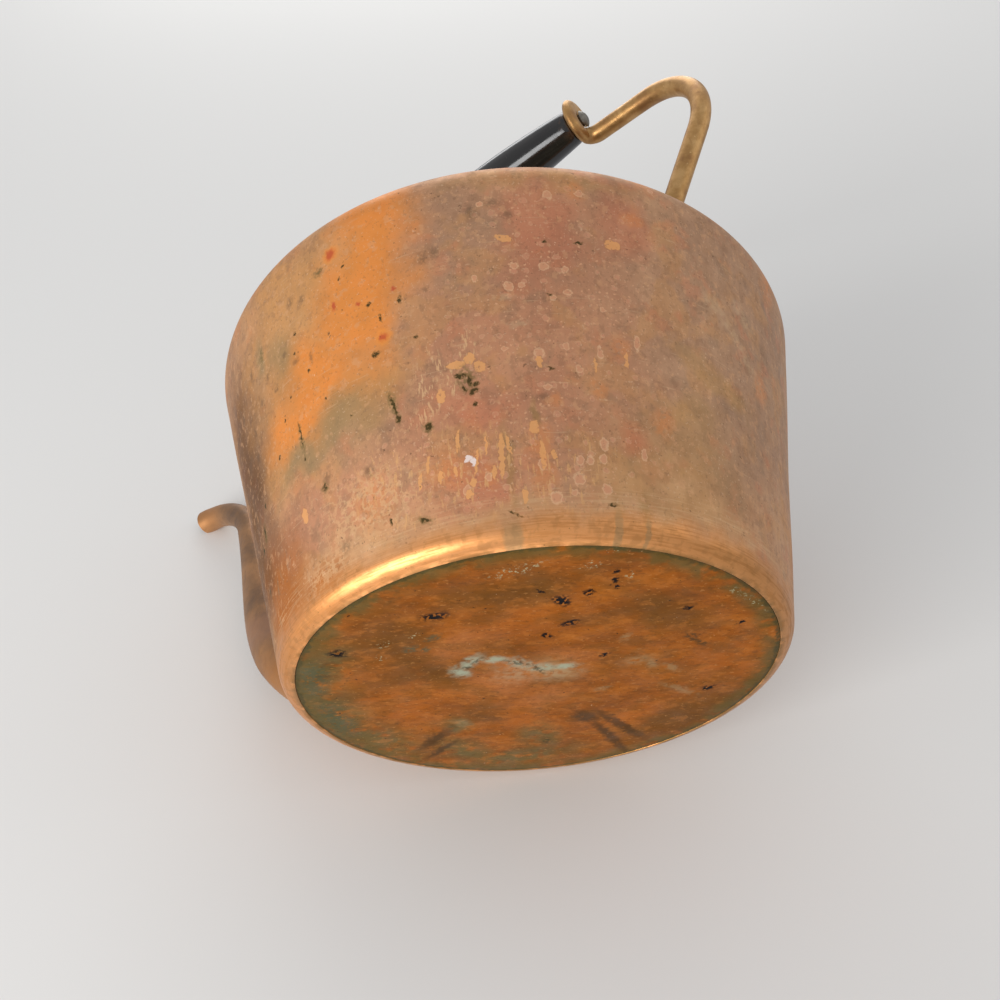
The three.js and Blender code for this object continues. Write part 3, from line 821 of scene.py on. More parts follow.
def surface(name, metallic, roughness):
    # A material with its shader and its millimetre coordinates
    material = bpy.data.materials.new(name)
    material.use_nodes = True
    tree = material.node_tree
    shader = tree.nodes["Principled BSDF"]
    shader.inputs["Metallic"].default_value = metallic
    shader.inputs["Roughness"].default_value = roughness
    shader.inputs["Specular IOR Level"].default_value = 0.12  # oxide and dirt take most of the sheen
    place = addNode(tree, "TexCoord")
    coords = addNode(tree, "VectorMath", {0: place.outputs["Object"], "Scale": 1000}, operation="SCALE")
    return material, tree, shader, coords.outputs[0]


softRise = {"interpolation_type": "SMOOTHSTEP", "clamp": False}
arcPerDegree = math.radians(100)  # millimetres round the wall, at a radius of 100 mm


def cylinderChart(tree, coords):
    # Way round the wall and height, both in millimetres, and the azimuth in degrees
    axes = addNode(tree, "SeparateXYZ", {0: coords})
    turn = addNode(tree, "Math", {0: axes.outputs["Y"], 1: axes.outputs["X"]}, operation="ARCTAN2")
    degrees = addNode(tree, "Math", {0: turn.outputs[0], 1: 180 / math.pi}, operation="MULTIPLY")
    way = addNode(tree, "Math", {0: degrees.outputs[0], 1: arcPerDegree}, operation="MULTIPLY")
    chart = addNode(tree, "CombineXYZ", {0: way.outputs[0], 1: axes.outputs["Z"]})
    return chart.outputs[0], degrees.outputs[0], axes.outputs["Z"]


def axisReach(tree, coords):
    # Distance from the kettle's axis, and the coordinates laid flat
    flat = addNode(tree, "VectorMath", {0: coords, 1: (1, 1, 0)}, operation="MULTIPLY").outputs[0]
    return addNode(tree, "VectorMath", {0: flat}, operation="LENGTH").outputs["Value"], flat


def onWall(places):
    # Marks that are given by azimuth in degrees, in millimetres round the wall
    return [(azimuth * arcPerDegree, *rest) for azimuth, *rest in places]


def ragged(tree, chart, coords, amount, size):
    # The chart pushed about by fine noise, so that marks get uneven edges
    cloud = addNode(tree, "TexNoise", {"Vector": coords, "Scale": 1 / size, "Detail": 5})
    push = addNode(tree, "VectorMath", {0: cloud.outputs["Color"], 1: (0.5, 0.5, 0.5)}, operation="SUBTRACT")
    sized = {0: push.outputs[0], 1: (2 * amount, 2 * amount, 0), 2: chart}
    return addNode(tree, "VectorMath", sized, operation="MULTIPLY_ADD").outputs[0]


def marks(tree, chart, places, soft=0.35):
    # Union of oval marks, each (across, up, half width, half height), with its lean in degrees if it leans
    union = None
    for across, up, width, height, *lean in places:
        if lean:
            cos, sin = math.cos(math.radians(lean[0])), math.sin(math.radians(lean[0]))
            wide = {0: chart, 1: (cos / width, sin / width, 0)}
            wide = addNode(tree, "VectorMath", wide, operation="DOT_PRODUCT").outputs["Value"]
            tall = {0: chart, 1: (-sin / height, cos / height, 0)}
            tall = addNode(tree, "VectorMath", tall, operation="DOT_PRODUCT").outputs["Value"]
            local = addNode(tree, "CombineXYZ", {0: wide, 1: tall}).outputs[0]
            centre = ((across * cos + up * sin) / width, (up * cos - across * sin) / height, 0)
            local = addNode(tree, "VectorMath", {0: local, 1: centre}, operation="SUBTRACT")
        else:
            sized = {0: chart, 1: (1 / width, 1 / height, 0), 2: (-across / width, -up / height, 0)}
            local = addNode(tree, "VectorMath", sized, operation="MULTIPLY_ADD")
        reach = addNode(tree, "VectorMath", {0: local.outputs[0]}, operation="LENGTH")
        edge = {"Value": reach.outputs["Value"], "From Min": 1 + soft, "From Max": 1 - soft}
        oval = addNode(tree, "MapRange", edge, **softRise).outputs[0]
        if union is not None:
            oval = addNode(tree, "Math", {0: union, 1: oval}, operation="MAXIMUM").outputs[0]
        union = oval
    return union


def stains(tree, coords, size, start, end, stretch=(1, 1, 1), seed=0.0, detail=4.0):
    # Cloudy stains about this many millimetres across, from none at start to full at end
    scale = [1 / (size * s) for s in stretch]
    local = {"Vector": coords, "Location": (seed, -seed, 0.6 * seed), "Scale": scale}
    local = addNode(tree, "Mapping", local)
    cloud = addNode(tree, "TexNoise", {"Vector": local.outputs[0], "Scale": 1, "Detail": detail})
    edge = {"Value": cloud.outputs[0], "From Min": start, "From Max": end}
    return addNode(tree, "MapRange", edge, **softRise).outputs[0]


def mottle(tree, coords, size, tones, spread=0.14, stretch=(1, 1, 1)):
    # Ground in three tones that run into each other in clouds of this size
    local = addNode(tree, "Mapping", {"Vector": coords, "Scale": tuple(1 / (size * s) for s in stretch)})
    cloud = {"Vector": local.outputs[0], "Scale": 1, "Detail": 10, "Roughness": 0.66}
    cloud = addNode(tree, "TexNoise", cloud)
    ground = addNode(tree, "ValToRGB", {0: cloud.outputs[0]})
    stops = ground.color_ramp.elements
    stops[0].position, stops[1].position = 0.5 - spread, 0.5 + spread
    stops[0].color, stops[1].color = toLinear(tones[0]), toLinear(tones[2])
    stops.new(0.5).color = toLinear(tones[1])
    return ground.outputs[0]


def layered(tree, ground, layers):
    # Colours laid over the ground in turn, each with its strength and its masks. A mask that is
    # (value, start, end) rises softly from none at start to full at end
    for colour, share, *masks in layers:
        for mask in masks:
            if isinstance(mask, tuple):
                edge = dict(zip(("Value", "From Min", "From Max"), mask))
                mask = addNode(tree, "MapRange", edge, **softRise).outputs[0]
            share = addNode(tree, "Math", {0: mask, 1: share}, operation="MULTIPLY").outputs[0]
        mixed = {0: share, 6: ground, 7: toLinear(colour)}
        ground = addNode(tree, "Mix", mixed, data_type="RGBA").outputs[2]
    return ground


def driedDrops(tree, coords, spacing, size, width, kept):
    # Rims and middles of dried drops: one in each cell, of uneven size, and a share of the cells kept
    uneven = addNode(tree, "TexNoise", {"Vector": coords, "Scale": 2 / spacing, "Detail": 3})
    uneven = {0: uneven.outputs["Color"], "Scale": 0.4 * spacing}
    uneven = addNode(tree, "VectorMath", uneven, operation="SCALE")
    local = addNode(tree, "VectorMath", {0: coords, 1: uneven.outputs[0]}, operation="ADD")
    sized = {"Vector": local.outputs[0], "Scale": 1 / spacing}
    cell = addNode(tree, "TexVoronoi", sized, voronoi_dimensions="2D")
    pick = addNode(tree, "SeparateXYZ", {0: cell.outputs["Color"]})
    drop = addNode(tree, "Math", {0: pick.outputs["X"], 1: size, 2: size * 0.4}, operation="MULTIPLY_ADD")
    off = addNode(tree, "Math", {0: cell.outputs["Distance"], 1: spacing}, operation="MULTIPLY")
    off = addNode(tree, "Math", {0: off.outputs[0], 1: drop.outputs[0]}, operation="SUBTRACT")
    gap = addNode(tree, "Math", {0: off.outputs[0]}, operation="ABSOLUTE")
    picked = (pick.outputs["Y"], 1 - kept, 1.05 - kept)
    return (gap.outputs[0], width, 0), (off.outputs[0], 0, -width), picked


def worn(tree, shader, coords, roughness, size, grainSize, bumpHeight):
    # Uneven gloss and a fine grain
    dull = addNode(tree, "TexNoise", {"Vector": coords, "Scale": 1 / size, "Detail": 5})
    low, high = roughness
    spread = {"Value": dull.outputs[0], "From Min": 0.3, "From Max": 0.7, "To Min": low, "To Max": high}
    gloss = addNode(tree, "MapRange", spread).outputs[0]
    tree.links.new(gloss, shader.inputs["Roughness"])
    grain = addNode(tree, "TexNoise", {"Vector": coords, "Scale": 1 / grainSize, "Detail": 5})
    bump = {"Strength": 0.3, "Distance": bumpHeight * millimetre, "Height": grain.outputs[0]}
    tree.links.new(addNode(tree, "Bump", bump).outputs[0], shader.inputs["Normal"])
    return gloss


# The viewer's place and angle in the photograph: below the base and in front of it
viewer = {
    "place": (205.42, -284.90, -170.45),
    "forward": (-0.4916, 0.6524, 0.5768),
    "up": (0.4252, -0.3981, 0.8128),
    "lens": 39.6,
    "sensor": 36,
    "clip": (0.01, 20),
}
photoWidth = 1000
straightWall = {"radius": 90, "widening": 0.094}  # the wall as a cone: its radius at the base, and its slope


def seenOnWall(column, row):
    """Azimuth and height, to a tenth, of the wall's point that a pixel of the photograph shows."""
    place, forward, up = [Vector(viewer[name]) for name in ("place", "forward", "up")]
    pixel = viewer["sensor"] / viewer["lens"] / photoWidth
    half = photoWidth / 2
    sight = forward + forward.cross(up) * (column - half) * pixel + up * (half - row) * pixel
    slope = straightWall["widening"]
    radius = straightWall["radius"] + slope * place.z
    square = sight.x ** 2 + sight.y ** 2 - (slope * sight.z) ** 2
    mixed = place.x * sight.x + place.y * sight.y - radius * slope * sight.z
    rest = place.x ** 2 + place.y ** 2 - radius ** 2
    point = place + sight * (-mixed - math.sqrt(mixed ** 2 - square * rest)) / square
    return round(math.degrees(math.atan2(point.y, point.x)), 1), round(point.z, 1)


# Dried drops, picked on enlarged pieces of the photograph: the column and row of each middle in
# the photograph's pixels, then the drop's size on the wall
pickedDrops = [
    (578.8, 480, 1.7, 1.7), (607.4, 490, 1.5, 1.5), (556.6, 498.3, 1.7, 1.7), (589.9, 463.3, 1.1, 1.5),
    (579.6, 462.5, 1.1, 1.5), (602.7, 461.7, 1.1, 1.5), (602.6, 448.2, 1.2, 1.8), (574.8, 493.5, 0.9, 0.9),
    (642, 458, 0.9, 1.8), (576, 379.2, 1.1, 1.2), (563.2, 358.8, 1, 1.1), (595.2, 364, 0.8, 2.2),
    (628.8, 356.2, 1, 2.6), (570, 222, 1, 1.3), (509.9, 303.9, 1.3, 1.5), (520.8, 303, 0.9, 0.9),
    (540.4, 286.4, 1.4, 1.4), (550, 314.8, 1, 1), (538.2, 364.8, 1.4, 1.6), (505.5, 360.5, 0.9, 0.9),
    (514.2, 285.5, 1.1, 1.1), (478.5, 297.3, 0.9, 1), (542.6, 223.2, 1.3, 1.4), (483.7, 231.9, 0.9, 0.9),
    (560, 290, 0.9, 1.1), (563.2, 310, 1, 1.1), (596, 326, 0.8, 0.9), (632, 218, 0.9, 1),
    (546.9, 395.4, 1, 1), (467.9, 491.2, 1.1, 1.3), (489, 479.2, 1, 1.3), (542.2, 467.3, 1.1, 1.4),
]

# Copper sheet raised by hand and left unpolished: pinkish brown oxide, with bare orange places,
# dried drops, drips and dark green specks. The foot is rubbed bright where it is handled.
wallFinish = {
    "grounds": ["#ab8264", "#c0926e", "#d0a27a"],
    "groundSize": 26,
    "edges": [(13, 20), (3, 5), (1.2, 1.5)],  # how far, and in what size, three kinds of edges are pushed
    "metallic": 0.7,
    "roughness": (0.5, 0.7),
    "farSide": [(-6, 40), (-132, -150)],  # azimuths where it sets in and is full, at both ends
    "orangePatch": [(-75, 112, 12, 26), (-80, 92, 14, 22), (-91, 76, 22, 15, -28), (-99, 65, 16, 10, -20)],
    "paleOrange": [(-94, 96, 32, 40), (-102, 62, 18, 18), (-84, 62, 22, 10, 20)],
    "greenGrey": [(-87, 55, 17, 7, 14), (-97, 50, 9, 5), (-106, 102, 3, 8), (-100, 92, 8, 10)],
    "pink": [(-50, 66, 40, 52), (-47, 105, 20, 20), (-64, 26, 28, 18), (-92, 30, 28, 13)],
    "redPink": [(-46, 106, 10, 15), (-33, 31, 5, 6), (-61, 19, 8, 6), (-32, 112, 7, 12), (-62, 46, 12, 8)],
    "greyRight": [
        (2, 96, 58, 56), (-8, 50, 34, 22), (-22, 66, 14, 16), (-59, 108, 12, 20), (-60, 90, 10, 12),
    ],
    # Dark brown down the left side of the wall: painted shade
    "leftSideShade": [(-123, 70, 22, 40), (-127, 30, 24, 40)],
    "lowLeft": [(-113, 12, 19, 22), (-100, 7, 16, 9)],
    "ochre": [(-12, 63, 17, 5, -20), (-18, 44, 10, 10), (-22, 26, 28, 18), (-45, 127, 26, 4)],
    "softOrange": [
        (-49, 18.6, 4, 5), (-49, 30, 3.4, 6), (-46, 44, 2, 3), (-39, 121.6, 3, 3.4), (-26, 132, 4, 5),
        (-29, 114, 3.6, 2.2), (-25.4, 40, 3.4, 5), (-9, 136, 6, 5), (-1, 138, 8, 4), (8, 124, 5, 8),
        (3.4, 72, 4, 6), (-33, 63, 3, 4), (-38, 48, 3, 3), (-59, 21, 2.6, 4), (-66, 26, 8, 6),
        (-82, 24, 8, 8),
    ],
    "oliveDrips": [(-55.2, 24, 1.5, 13, 1), (-49.5, 40, 1, 4), (-36, 6, 2, 6), (-30.3, 7, 1.8, 6)],
    "paleScuffs": [
        (-53, 81, 4, 1), (-51, 71, 3, 1.4), (-4, 82, 16, 2.4, -41), (-3, 96, 6, 3, -40), (-12, 92, 4, 3),
    ],
    "lowTan": [(-60, 10, 60, 5), (-20, 11, 40, 5), (-100, 12, 50, 10)],
    "rubbedOrange": [
        (-52, 103, 2.6, 1.2, -20), (-33, 102, 2.6, 1.7), (-62.5, 59.5, 3, 1.4), (-60, 61, 1.6, 1.8, 20),
        (-58.4, 57.6, 1.4, 2, 20), (-66, 50, 1.4, 2.2), (-100, 33, 1.5, 2.6), (-64, 34, 0.7, 3.4, -8),
        (-59, 31, 0.5, 3, -6), (-56.4, 27, 0.9, 7, -4), (-55, 30, 0.6, 3, 6), (-50, 35, 1.5, 2),
        (-49, 26, 0.9, 4.4), (-68, 24, 0.8, 2, -8), (-62, 20, 1, 1.4), (-47, 26, 0.8, 1.8),
        (-63, 16.5, 0.9, 1.2), (-53, 13, 0.8, 2.2), (-32, 59, 0.6, 2.8), (-48, 57, 0.9, 2),
        (-38, 56, 0.5, 2.4), (-61, 26, 0.5, 4, -12), (-65, 24.6, 0.6, 1.6), (-70, 29, 0.5, 2.4, -12),
        (-72, 24, 0.5, 2.6, -10), (-58, 22, 0.6, 2.4),
    ],
    "pinkDrops": [(*seenOnWall(column, row), *size) for column, row, *size in pickedDrops],
    "redDots": [
        (-83, 117, 1.7, 1.9), (-75, 77, 1.4, 1.5), (-72, 93, 1, 0.8), (-79, 93, 0.8, 0.8),
        (-84, 97, 0.7, 1.6),
    ],
    "dotHalo": [(-75, 77, 2.6, 2.8), (-83, 117, 2.6, 2.8)],
    "greenHalo": [
        (-61, 54, 3.2, 4.4, 15), (-69, 41, 2, 2.2), (-93, 37, 2, 1.8), (-72, 12, 2.4, 1.2, -20),
        (-75, 52, 1.4, 5.6, 12), (-97, 58, 1.2, 5.6, 3), (-86, 113, 2, 1.6), (-105, 102, 1.2, 3),
        (-118, 43, 2, 3.4),
    ],
    "greenSpecks": [
        (-77, 91, 0.8, 0.9), (-71, 88, 0.7, 1.4), (-77, 72, 1.2, 1), (-75, 84, 0.5, 1.5, 15),
        (-62, 55.4, 1.9, 0.8, -10), (-60.5, 53, 0.7, 1.8), (-60, 49.5, 1.4, 1.1, 30), (-59.4, 51.8, 0.9, 0.8),
        (-61.6, 51, 0.5, 1.2, 20), (-69, 41, 1.1, 1.3), (-93, 37, 1, 1), (-74.4, 47, 0.9, 1.2),
        (-75, 52, 0.35, 4, 14), (-97, 60, 0.3, 4.6, 3), (-79, 15, 0.6, 1), (-72, 12, 1.5, 0.7, -20),
        (-39, 101, 1.3, 0.5), (-45, 81, 0.6, 0.5), (-69, 73, 0.7, 0.7), (-46, 54.5, 1.2, 0.5, -20),
        (-118, 44, 0.9, 2.8, -8), (-121, 40, 0.9, 1.5), (-105, 60, 0.6, 0.8), (-97, 51, 0.5, 0.7),
        (-55, 8, 2.4, 0.35, -30), (-60, 45, 0.6, 0.9), (-45, 101, 0.6, 0.5), (-82, 106, 0.4, 0.5),
        (-92, 80, 0.5, 0.7), (-98, 76, 0.5, 0.6), (-89, 66, 0.4, 0.4), (-84, 55, 0.4, 0.4),
        (-115, 52, 0.7, 1.1), (-122, 25, 0.6, 1.4), (-94, 97, 0.5, 0.6), (-81, 110, 0.5, 0.4),
        (-37, 10, 1.2, 0.5), (-47, 6, 0.9, 0.5, 10), (-101, 70, 0.5, 0.5), (-86, 88, 0.4, 0.5),
        (-95, 90, 0.5, 0.5),
    ],
    "smudges": [
        (-51, 112, 1.6, 1.2), (-53, 117, 2, 1.6), (-57, 115, 1.6, 2.2), (-66, 101, 1.6, 2.2),
        (-86, 113, 1.6, 1.2), (-94, 110, 1.4, 1.8), (-92, 40, 1.8, 1.8), (-82, 34, 2, 2), (-90, 14, 2, 2),
        (-66, 89, 1.1, 1), (-118, 92, 1.4, 1.8), (-113, 80, 1.2, 2.6), (-114, 70, 1.4, 1.8),
        (-91, 108, 1, 1.2), (-98, 93, 1.2, 1), (-108, 86, 1, 1.6), (-95, 87, 1.4, 1), (-102, 84, 1.2, 1),
        (-110, 100, 1, 3), (-48, 45, 1.4, 1), (-64, 102, 1.2, 2), (-91, 84, 0.8, 2), (-104, 92, 1, 1),
    ],
    "whiteChip": [(-62.4, 27.6, 1.5, 0.9, 25), (-61.6, 26.4, 0.8, 1.2)],
    "crust": [(-84, 24, 18, 10), (-96, 10, 12, 8)],
    "scored": [(-70, 51, 4, 12, 8), (-65, 60, 3, 8), (-60, 64, 2, 5)],
    "largeDrops": (4.6, 0.8, 0.32, 0.45),  # spacing, radius, rim and the share of cells that have one
    "smallDrops": (2.4, 0.36, 0.2, 0.45),
    "dripPlaces": [(-60, 24, 20, 14), (-78, 28, 12, 16), (-45, 22, 14, 12)],
    "dropPlaces": [(-46, 76, 34, 54), (-48, 26, 34, 20), (-74, 30, 30, 14)],
    "footStreaks": [(-56, 3, 3.2, 8), (-36, 3, 1.4, 6), (-30, 2, 1, 5)],
    "footGold": "#eaa060",
    "footTop": (15, 7),  # heights: first rubbing, all rubbed
    "footUneven": 9,
    "footGrime": (86.6, 84),  # radii: first grime, full grime
    "footMetallic": 0.8,
    "footRoughness": (0.36, 0.5),  # on the burnishing lines and between them
}


def wallCopper():
    finish, roughness = wallFinish, wallFinish["roughness"]
    material, tree, shader, coords = surface("handRaisedCopper", finish["metallic"], roughness[1])
    chart, degrees, height = cylinderChart(tree, coords)
    rough, middling, fine = [ragged(tree, chart, coords, *sizes) for sizes in finish["edges"]]
    ground = mottle(tree, coords, finish["groundSize"], finish["grounds"])
    cloudy = lambda *sizes, **more: stains(tree, coords, *sizes, **more)
    broad = lambda name, edge=0.7: marks(tree, rough, onWall(finish[name]), edge)
    soft = lambda name: marks(tree, middling, onWall(finish[name]), 0.7)
    small = lambda name, edge=0.4: marks(tree, fine, onWall(finish[name]), edge)
    # The far side, which the named places don't reach, has the same oxide and orange in loose clouds
    ends = []
    for start, end in finish["farSide"]:
        edge = {"Value": degrees, "From Min": start, "From Max": end}
        ends.append(addNode(tree, "MapRange", edge, **softRise).outputs[0])
    farSide = addNode(tree, "Math", dict(enumerate(ends)), operation="MAXIMUM").outputs[0]
    largeRim, largeMiddle, largeKept = driedDrops(tree, chart, *finish["largeDrops"])
    _, smallMiddle, smallKept = driedDrops(tree, chart, *finish["smallDrops"])
    drops = small("pinkDrops", 0.5)
    rubbed = small("rubbedOrange", 0.5)
    specks = small("greenSpecks", 0.6)
    dropPlaces = broad("dropPlaces", 0.5)
    layers = [
        ("#d08e58", 0.7, farSide, cloudy(46, 0.5, 0.62, seed=2)),
        ("#8a7464", 0.6, farSide, cloudy(34, 0.52, 0.64, seed=7)),
        ("#c98868", 0.5, broad("pink")),
        ("#ae8b6e", 0.6, broad("greyRight")),
        ("#cb9660", 0.4, cloudy(17, 0.52, 0.62, seed=51, detail=8)),
        ("#cc8560", 0.4, cloudy(11, 0.55, 0.66, seed=53, detail=8)),
        ("#94785f", 0.35, cloudy(8, 0.54, 0.66, seed=55, detail=8)),
        ("#d29a5c", 0.7, broad("paleOrange")),
        ("#9a7a5e", 0.12, cloudy(1.6, 0.42, 0.62, (1, 1, 5), seed=33, detail=6)),
        ("#946f54", 0.3, cloudy(3.4, 0.54, 0.64, seed=4, detail=8)),
        ("#e49248", 0.94, broad("orangePatch", 0.6), cloudy(14, 0.0, 0.36, seed=36, detail=8)),
        ("#cc7c38", 0.2, broad("orangePatch", 0.5), cloudy(5, 0.5, 0.68, seed=57, detail=8)),
        ("#95825e", 0.65, broad("greenGrey", 0.8)),
        # Dark brown down the left side of the wall: painted shade, where that side turns away from the light
        ("#5a3408", 0.8, broad("leftSideShade")),
        ("#cfa070", 0.5, broad("lowTan", 0.8)),
        ("#b06624", 0.85, broad("lowLeft"), cloudy(3, 0.24, 0.46, (1, 1, 5), seed=67, detail=8)),
        ("#c0965e", 0.4, broad("ochre", 0.6)),
        ("#cc7c5c", 0.45, broad("redPink", 0.8)),
        ("#dc9058", 0.5, soft("softOrange"), cloudy(2.4, 0.3, 0.5, seed=59, detail=7)),
        ("#a5824e", 0.5, soft("oliveDrips")),
        ("#cdae88", 0.4, soft("paleScuffs"), cloudy(1.8, 0.36, 0.56, seed=61, detail=7)),
        ("#d8a67a", 0.35, cloudy(2.8, 0.57, 0.65, seed=8, detail=8)),
        ("#dcb588", 0.35, (height, 20, 10), cloudy(0.6, 0.48, 0.66, (18, 18, 1), seed=63)),
        ("#dcaa74", 0.7, cloudy(1.1, 0.55, 0.66, (1, 1, 6), seed=3), broad("dripPlaces", 0.5)),
        ("#dbb184", 0.8, broad("scored", 0.3), cloudy(0.7, 0.54, 0.62, (1, 1, 14), seed=31, detail=2)),
        ("#d89c7a", 0.55, largeMiddle, largeKept, dropPlaces),
        ("#e2b48c", 0.45, largeRim, largeKept, dropPlaces, cloudy(1.2, 0.34, 0.5, seed=37)),
        ("#e0ac84", 0.7, smallMiddle, smallKept, dropPlaces),
        ("#e6ba92", 0.65, (drops, 0.1, 0.4)),
        ("#d0906c", 0.6, (drops, 0.5, 0.9)),
        # Lime crust: a pale line where two broad stains meet
        (
            "#dcb284", 0.55, broad("crust"), cloudy(4, 0.44, 0.485, seed=75, detail=7),
            cloudy(4, 0.56, 0.515, seed=75, detail=7),
        ),
        ("#dbab82", 0.35, cloudy(0.45, 0.66, 0.72, (1, 1, 40), seed=5, detail=2)),
        ("#7e5f49", 0.25, cloudy(1.2, 0.6, 0.66, seed=71, detail=4)),
        ("#e6c3a0", 0.3, cloudy(1.0, 0.64, 0.69, seed=73, detail=3)),
        ("#d9b48c", 0.3, cloudy(0.6, 0.66, 0.73, (18, 18, 1), seed=9, detail=2)),
        ("#a06c42", 0.3, (rubbed, 0.0, 0.4), cloudy(1.6, 0.4, 0.6, seed=69)),
        ("#e6a96e", 0.9, (rubbed, 0.25, 0.6), cloudy(1.2, 0.28, 0.42, seed=38, detail=7)),
        ("#f09a44", 0.7, small("dotHalo", 0.5)),
        ("#c25238", 0.8, small("redDots", 0.6)),
        ("#6c5540", 0.5, small("smudges", 0.8), cloudy(1.4, 0.34, 0.5, seed=39, detail=6)),
        ("#4f3f2c", 0.5, cloudy(1.7, 0.71, 0.76, seed=12, detail=2)),
        ("#ecc6a2", 0.65, cloudy(1.0, 0.73, 0.79, seed=15, detail=2)),
        ("#7a6a40", 0.65, small("greenHalo", 0.6), cloudy(1.2, 0.4, 0.55, seed=41)),
        ("#7c6038", 0.45, (specks, 0.02, 0.3)),
        ("#453b20", 0.9, (specks, 0.35, 0.8), cloudy(0.9, 0.36, 0.5, seed=65)),
        ("#efdcd2", 1.0, small("whiteChip", 0.2)),
    ]
    colour = layered(tree, ground, layers)
    # Rubbed foot, with burnishing lines round it and grime next to the groove
    size = finish["footUneven"]
    uneven = addNode(tree, "TexNoise", {"Vector": coords, "Scale": 1 / size, "Detail": 6})
    uneven = addNode(tree, "Math", {0: uneven.outputs[0], 1: size, 2: height}, operation="MULTIPLY_ADD")
    start, end = finish["footTop"]
    foot = {"Value": uneven.outputs[0], "From Min": start, "From Max": end}
    foot = addNode(tree, "MapRange", foot, **softRise).outputs[0]
    reach, _ = axisReach(tree, coords)
    lines = cloudy(0.5, 0.44, 0.64, (20, 20, 1), seed=21)
    layers = [
        (finish["footGold"], 0.85, foot),
        ("#b07640", 0.5, foot, lines),
        ("#a87646", 0.35, foot, cloudy(3, 0.5, 0.62, seed=23, detail=8)),
        ("#8f8262", 0.45, foot, small("footStreaks", 0.3)),
        ("#9c6e3a", 0.45, foot, (degrees, -45, 0)),
        ("#b07a42", 0.2, foot, (degrees, -110, -125)),
        ("#6a5228", 0.65, foot, (reach, *finish["footGrime"]), cloudy(5, 0.34, 0.54, seed=27)),
        ("#40381f", 0.5, foot, cloudy(1.1, 0.68, 0.74, seed=25)),
    ]
    tree.links.new(layered(tree, colour, layers), shader.inputs["Base Color"])
    gloss = worn(tree, shader, coords, roughness, 7, 1.4, 0.12)
    # Where it is rubbed the foot is smoother, and more of it is bare metal
    low, high = finish["footRoughness"]
    burnished = addNode(tree, "MapRange", {"Value": lines, "To Min": low, "To Max": high}).outputs[0]
    footGloss = addNode(tree, "Mix", {0: foot, 2: gloss, 3: burnished})
    tree.links.new(footGloss.outputs[0], shader.inputs["Roughness"])
    bare = addNode(tree, "Mix", {0: foot, 2: finish["metallic"], 3: finish["footMetallic"]})
    tree.links.new(bare.outputs[0], shader.inputs["Metallic"])
    return material


# Copper base plate, scorched by the stove and never cleaned: rust orange and brown in long smears,
# olive grime in places along its edge, a pale green smear of verdigris and black flakes of soot.
baseFinish = {
    "grounds": ["#854a12", "#9a5614", "#aa631c"],
    "groundSize": 15,
    "edges": [(6, 14), (2.2, 2.4)],
    "metallic": 0.82,
    "roughness": (0.5, 0.72),
    "wearAngle": 47,  # the way it was pushed over the stove
    "greenGrey": [
        (-48, 50, 22, 9, 30), (-60, 28, 7, 16), (-32, 42, 8, 12, 30), (-74, -8, 11, 24),
        (-66, -36, 11, 24, 25), (-46, 8, 5, 7, 20), (-68, 60, 8, 8), (-42, -62, 16, 8, -30),
    ],
    "verdigris": [
        (-15.5, -24, 3, 3.6), (-9, -27, 6, 2.4, -10), (-1.4, -22, 5, 2.2, 50), (2.4, -13.5, 5, 2.4, 85),
        (5.5, -5, 5, 2.4, 50), (11, 0, 4, 2, 40),
    ],
    "whiteHaze": [(-3, -9, 8, 6, 50), (6, 2, 8, 5, 40)],
    "paleSmears": [
        (31, 16, 5, 3, 30), (10, 25, 3, 1.4, 20), (-43, 8, 2.4, 4), (28, 48, 1.6, 8, -10),
        (38, -1, 2.6, 1.6, -30), (36, 30, 1.6, 4), (33, 22, 2, 4, 20), (8, 0, 6, 9, 10),
    ],
    "pink": [(-8, -6, 14, 13), (13, -6, 12, 6, 25), (-8, 15, 10, 7), (-2, -38, 12, 7)],
    "darkSmears": [
        (-14, 62, 2, 20, 14), (-5, 57, 2.4, 18, 4), (-9, 40, 4, 7), (-60, 11, 11, 3, -16),
        (-65, 20, 9, 1.6, -10),
    ],
    "brown": [
        (-24, -52, 26, 13, -40), (20, 68, 40, 12, -8), (-30, 8, 10, 8), (56, -6, 8, 14), (30, -52, 22, 7, 25),
        (-20, -30, 8, 12),
    ],
    "brightOrange": [
        (22, -36, 14, 9, 30), (46, 46, 18, 14, -30), (-46, -20, 14, 12), (-36, -50, 10, 8),
        (2, 52, 14, 8, 10), (-24, 20, 8, 18),
    ],
    "soot": [
        (5, -59, 4.4, 2.6, 20), (-33, -65, 2.4, 3, -20), (31, -23, 3, 1.7, 10), (38, -36, 2.4, 3.6, 10),
        (47, -34, 1.8, 1.6), (60, -38, 1.5, 1.3), (26, 4, 2.1, 1), (21, -22, 1.3, 2), (63, -2, 1.3, 0.9),
        (37, -46, 1, 1.7), (36, 55, 2.6, 1.6), (70, 20, 1.2, 1), (57, -34, 1.1, 1.1), (55, -31, 1, 1.5),
    ],
    "teal": [
        (-15, -49, 2.8, 2), (-5, -49, 3, 1.6), (-12, -45, 1.8, 1.8), (-70, -30, 5, 14, 25),
        (-52, -58, 12, 5, -45),
    ],
    "darkSpots": [
        (53, 20, 1.2, 5), (53.5, 15, 1.8, 2.2), (2, -14, 1.2, 5, -20), (-12, -25, 1.6, 1.6),
        (-6, -26, 3, 0.8), (4, -5, 0.9, 5, 8), (-33, 46, 1.6, 2.6, 30),
    ],
    "crystals": [
        (80, 12, 1.4, 7), (79, 0, 1.4, 3), (40, -61, 8, 2.4, 15), (57, -47, 3, 2, 30), (62, -33, 1.6, 1.6),
        (68, -48, 2.4, 1.6, 30), (-19, -58, 2.6, 1.6, 20), (-8, -54, 1.6, 1.2), (-26, -52, 1.4, 2),
    ],
    "grime": (75, 82, 83.4),  # radii: first grime, full grime, the groove's far side
}


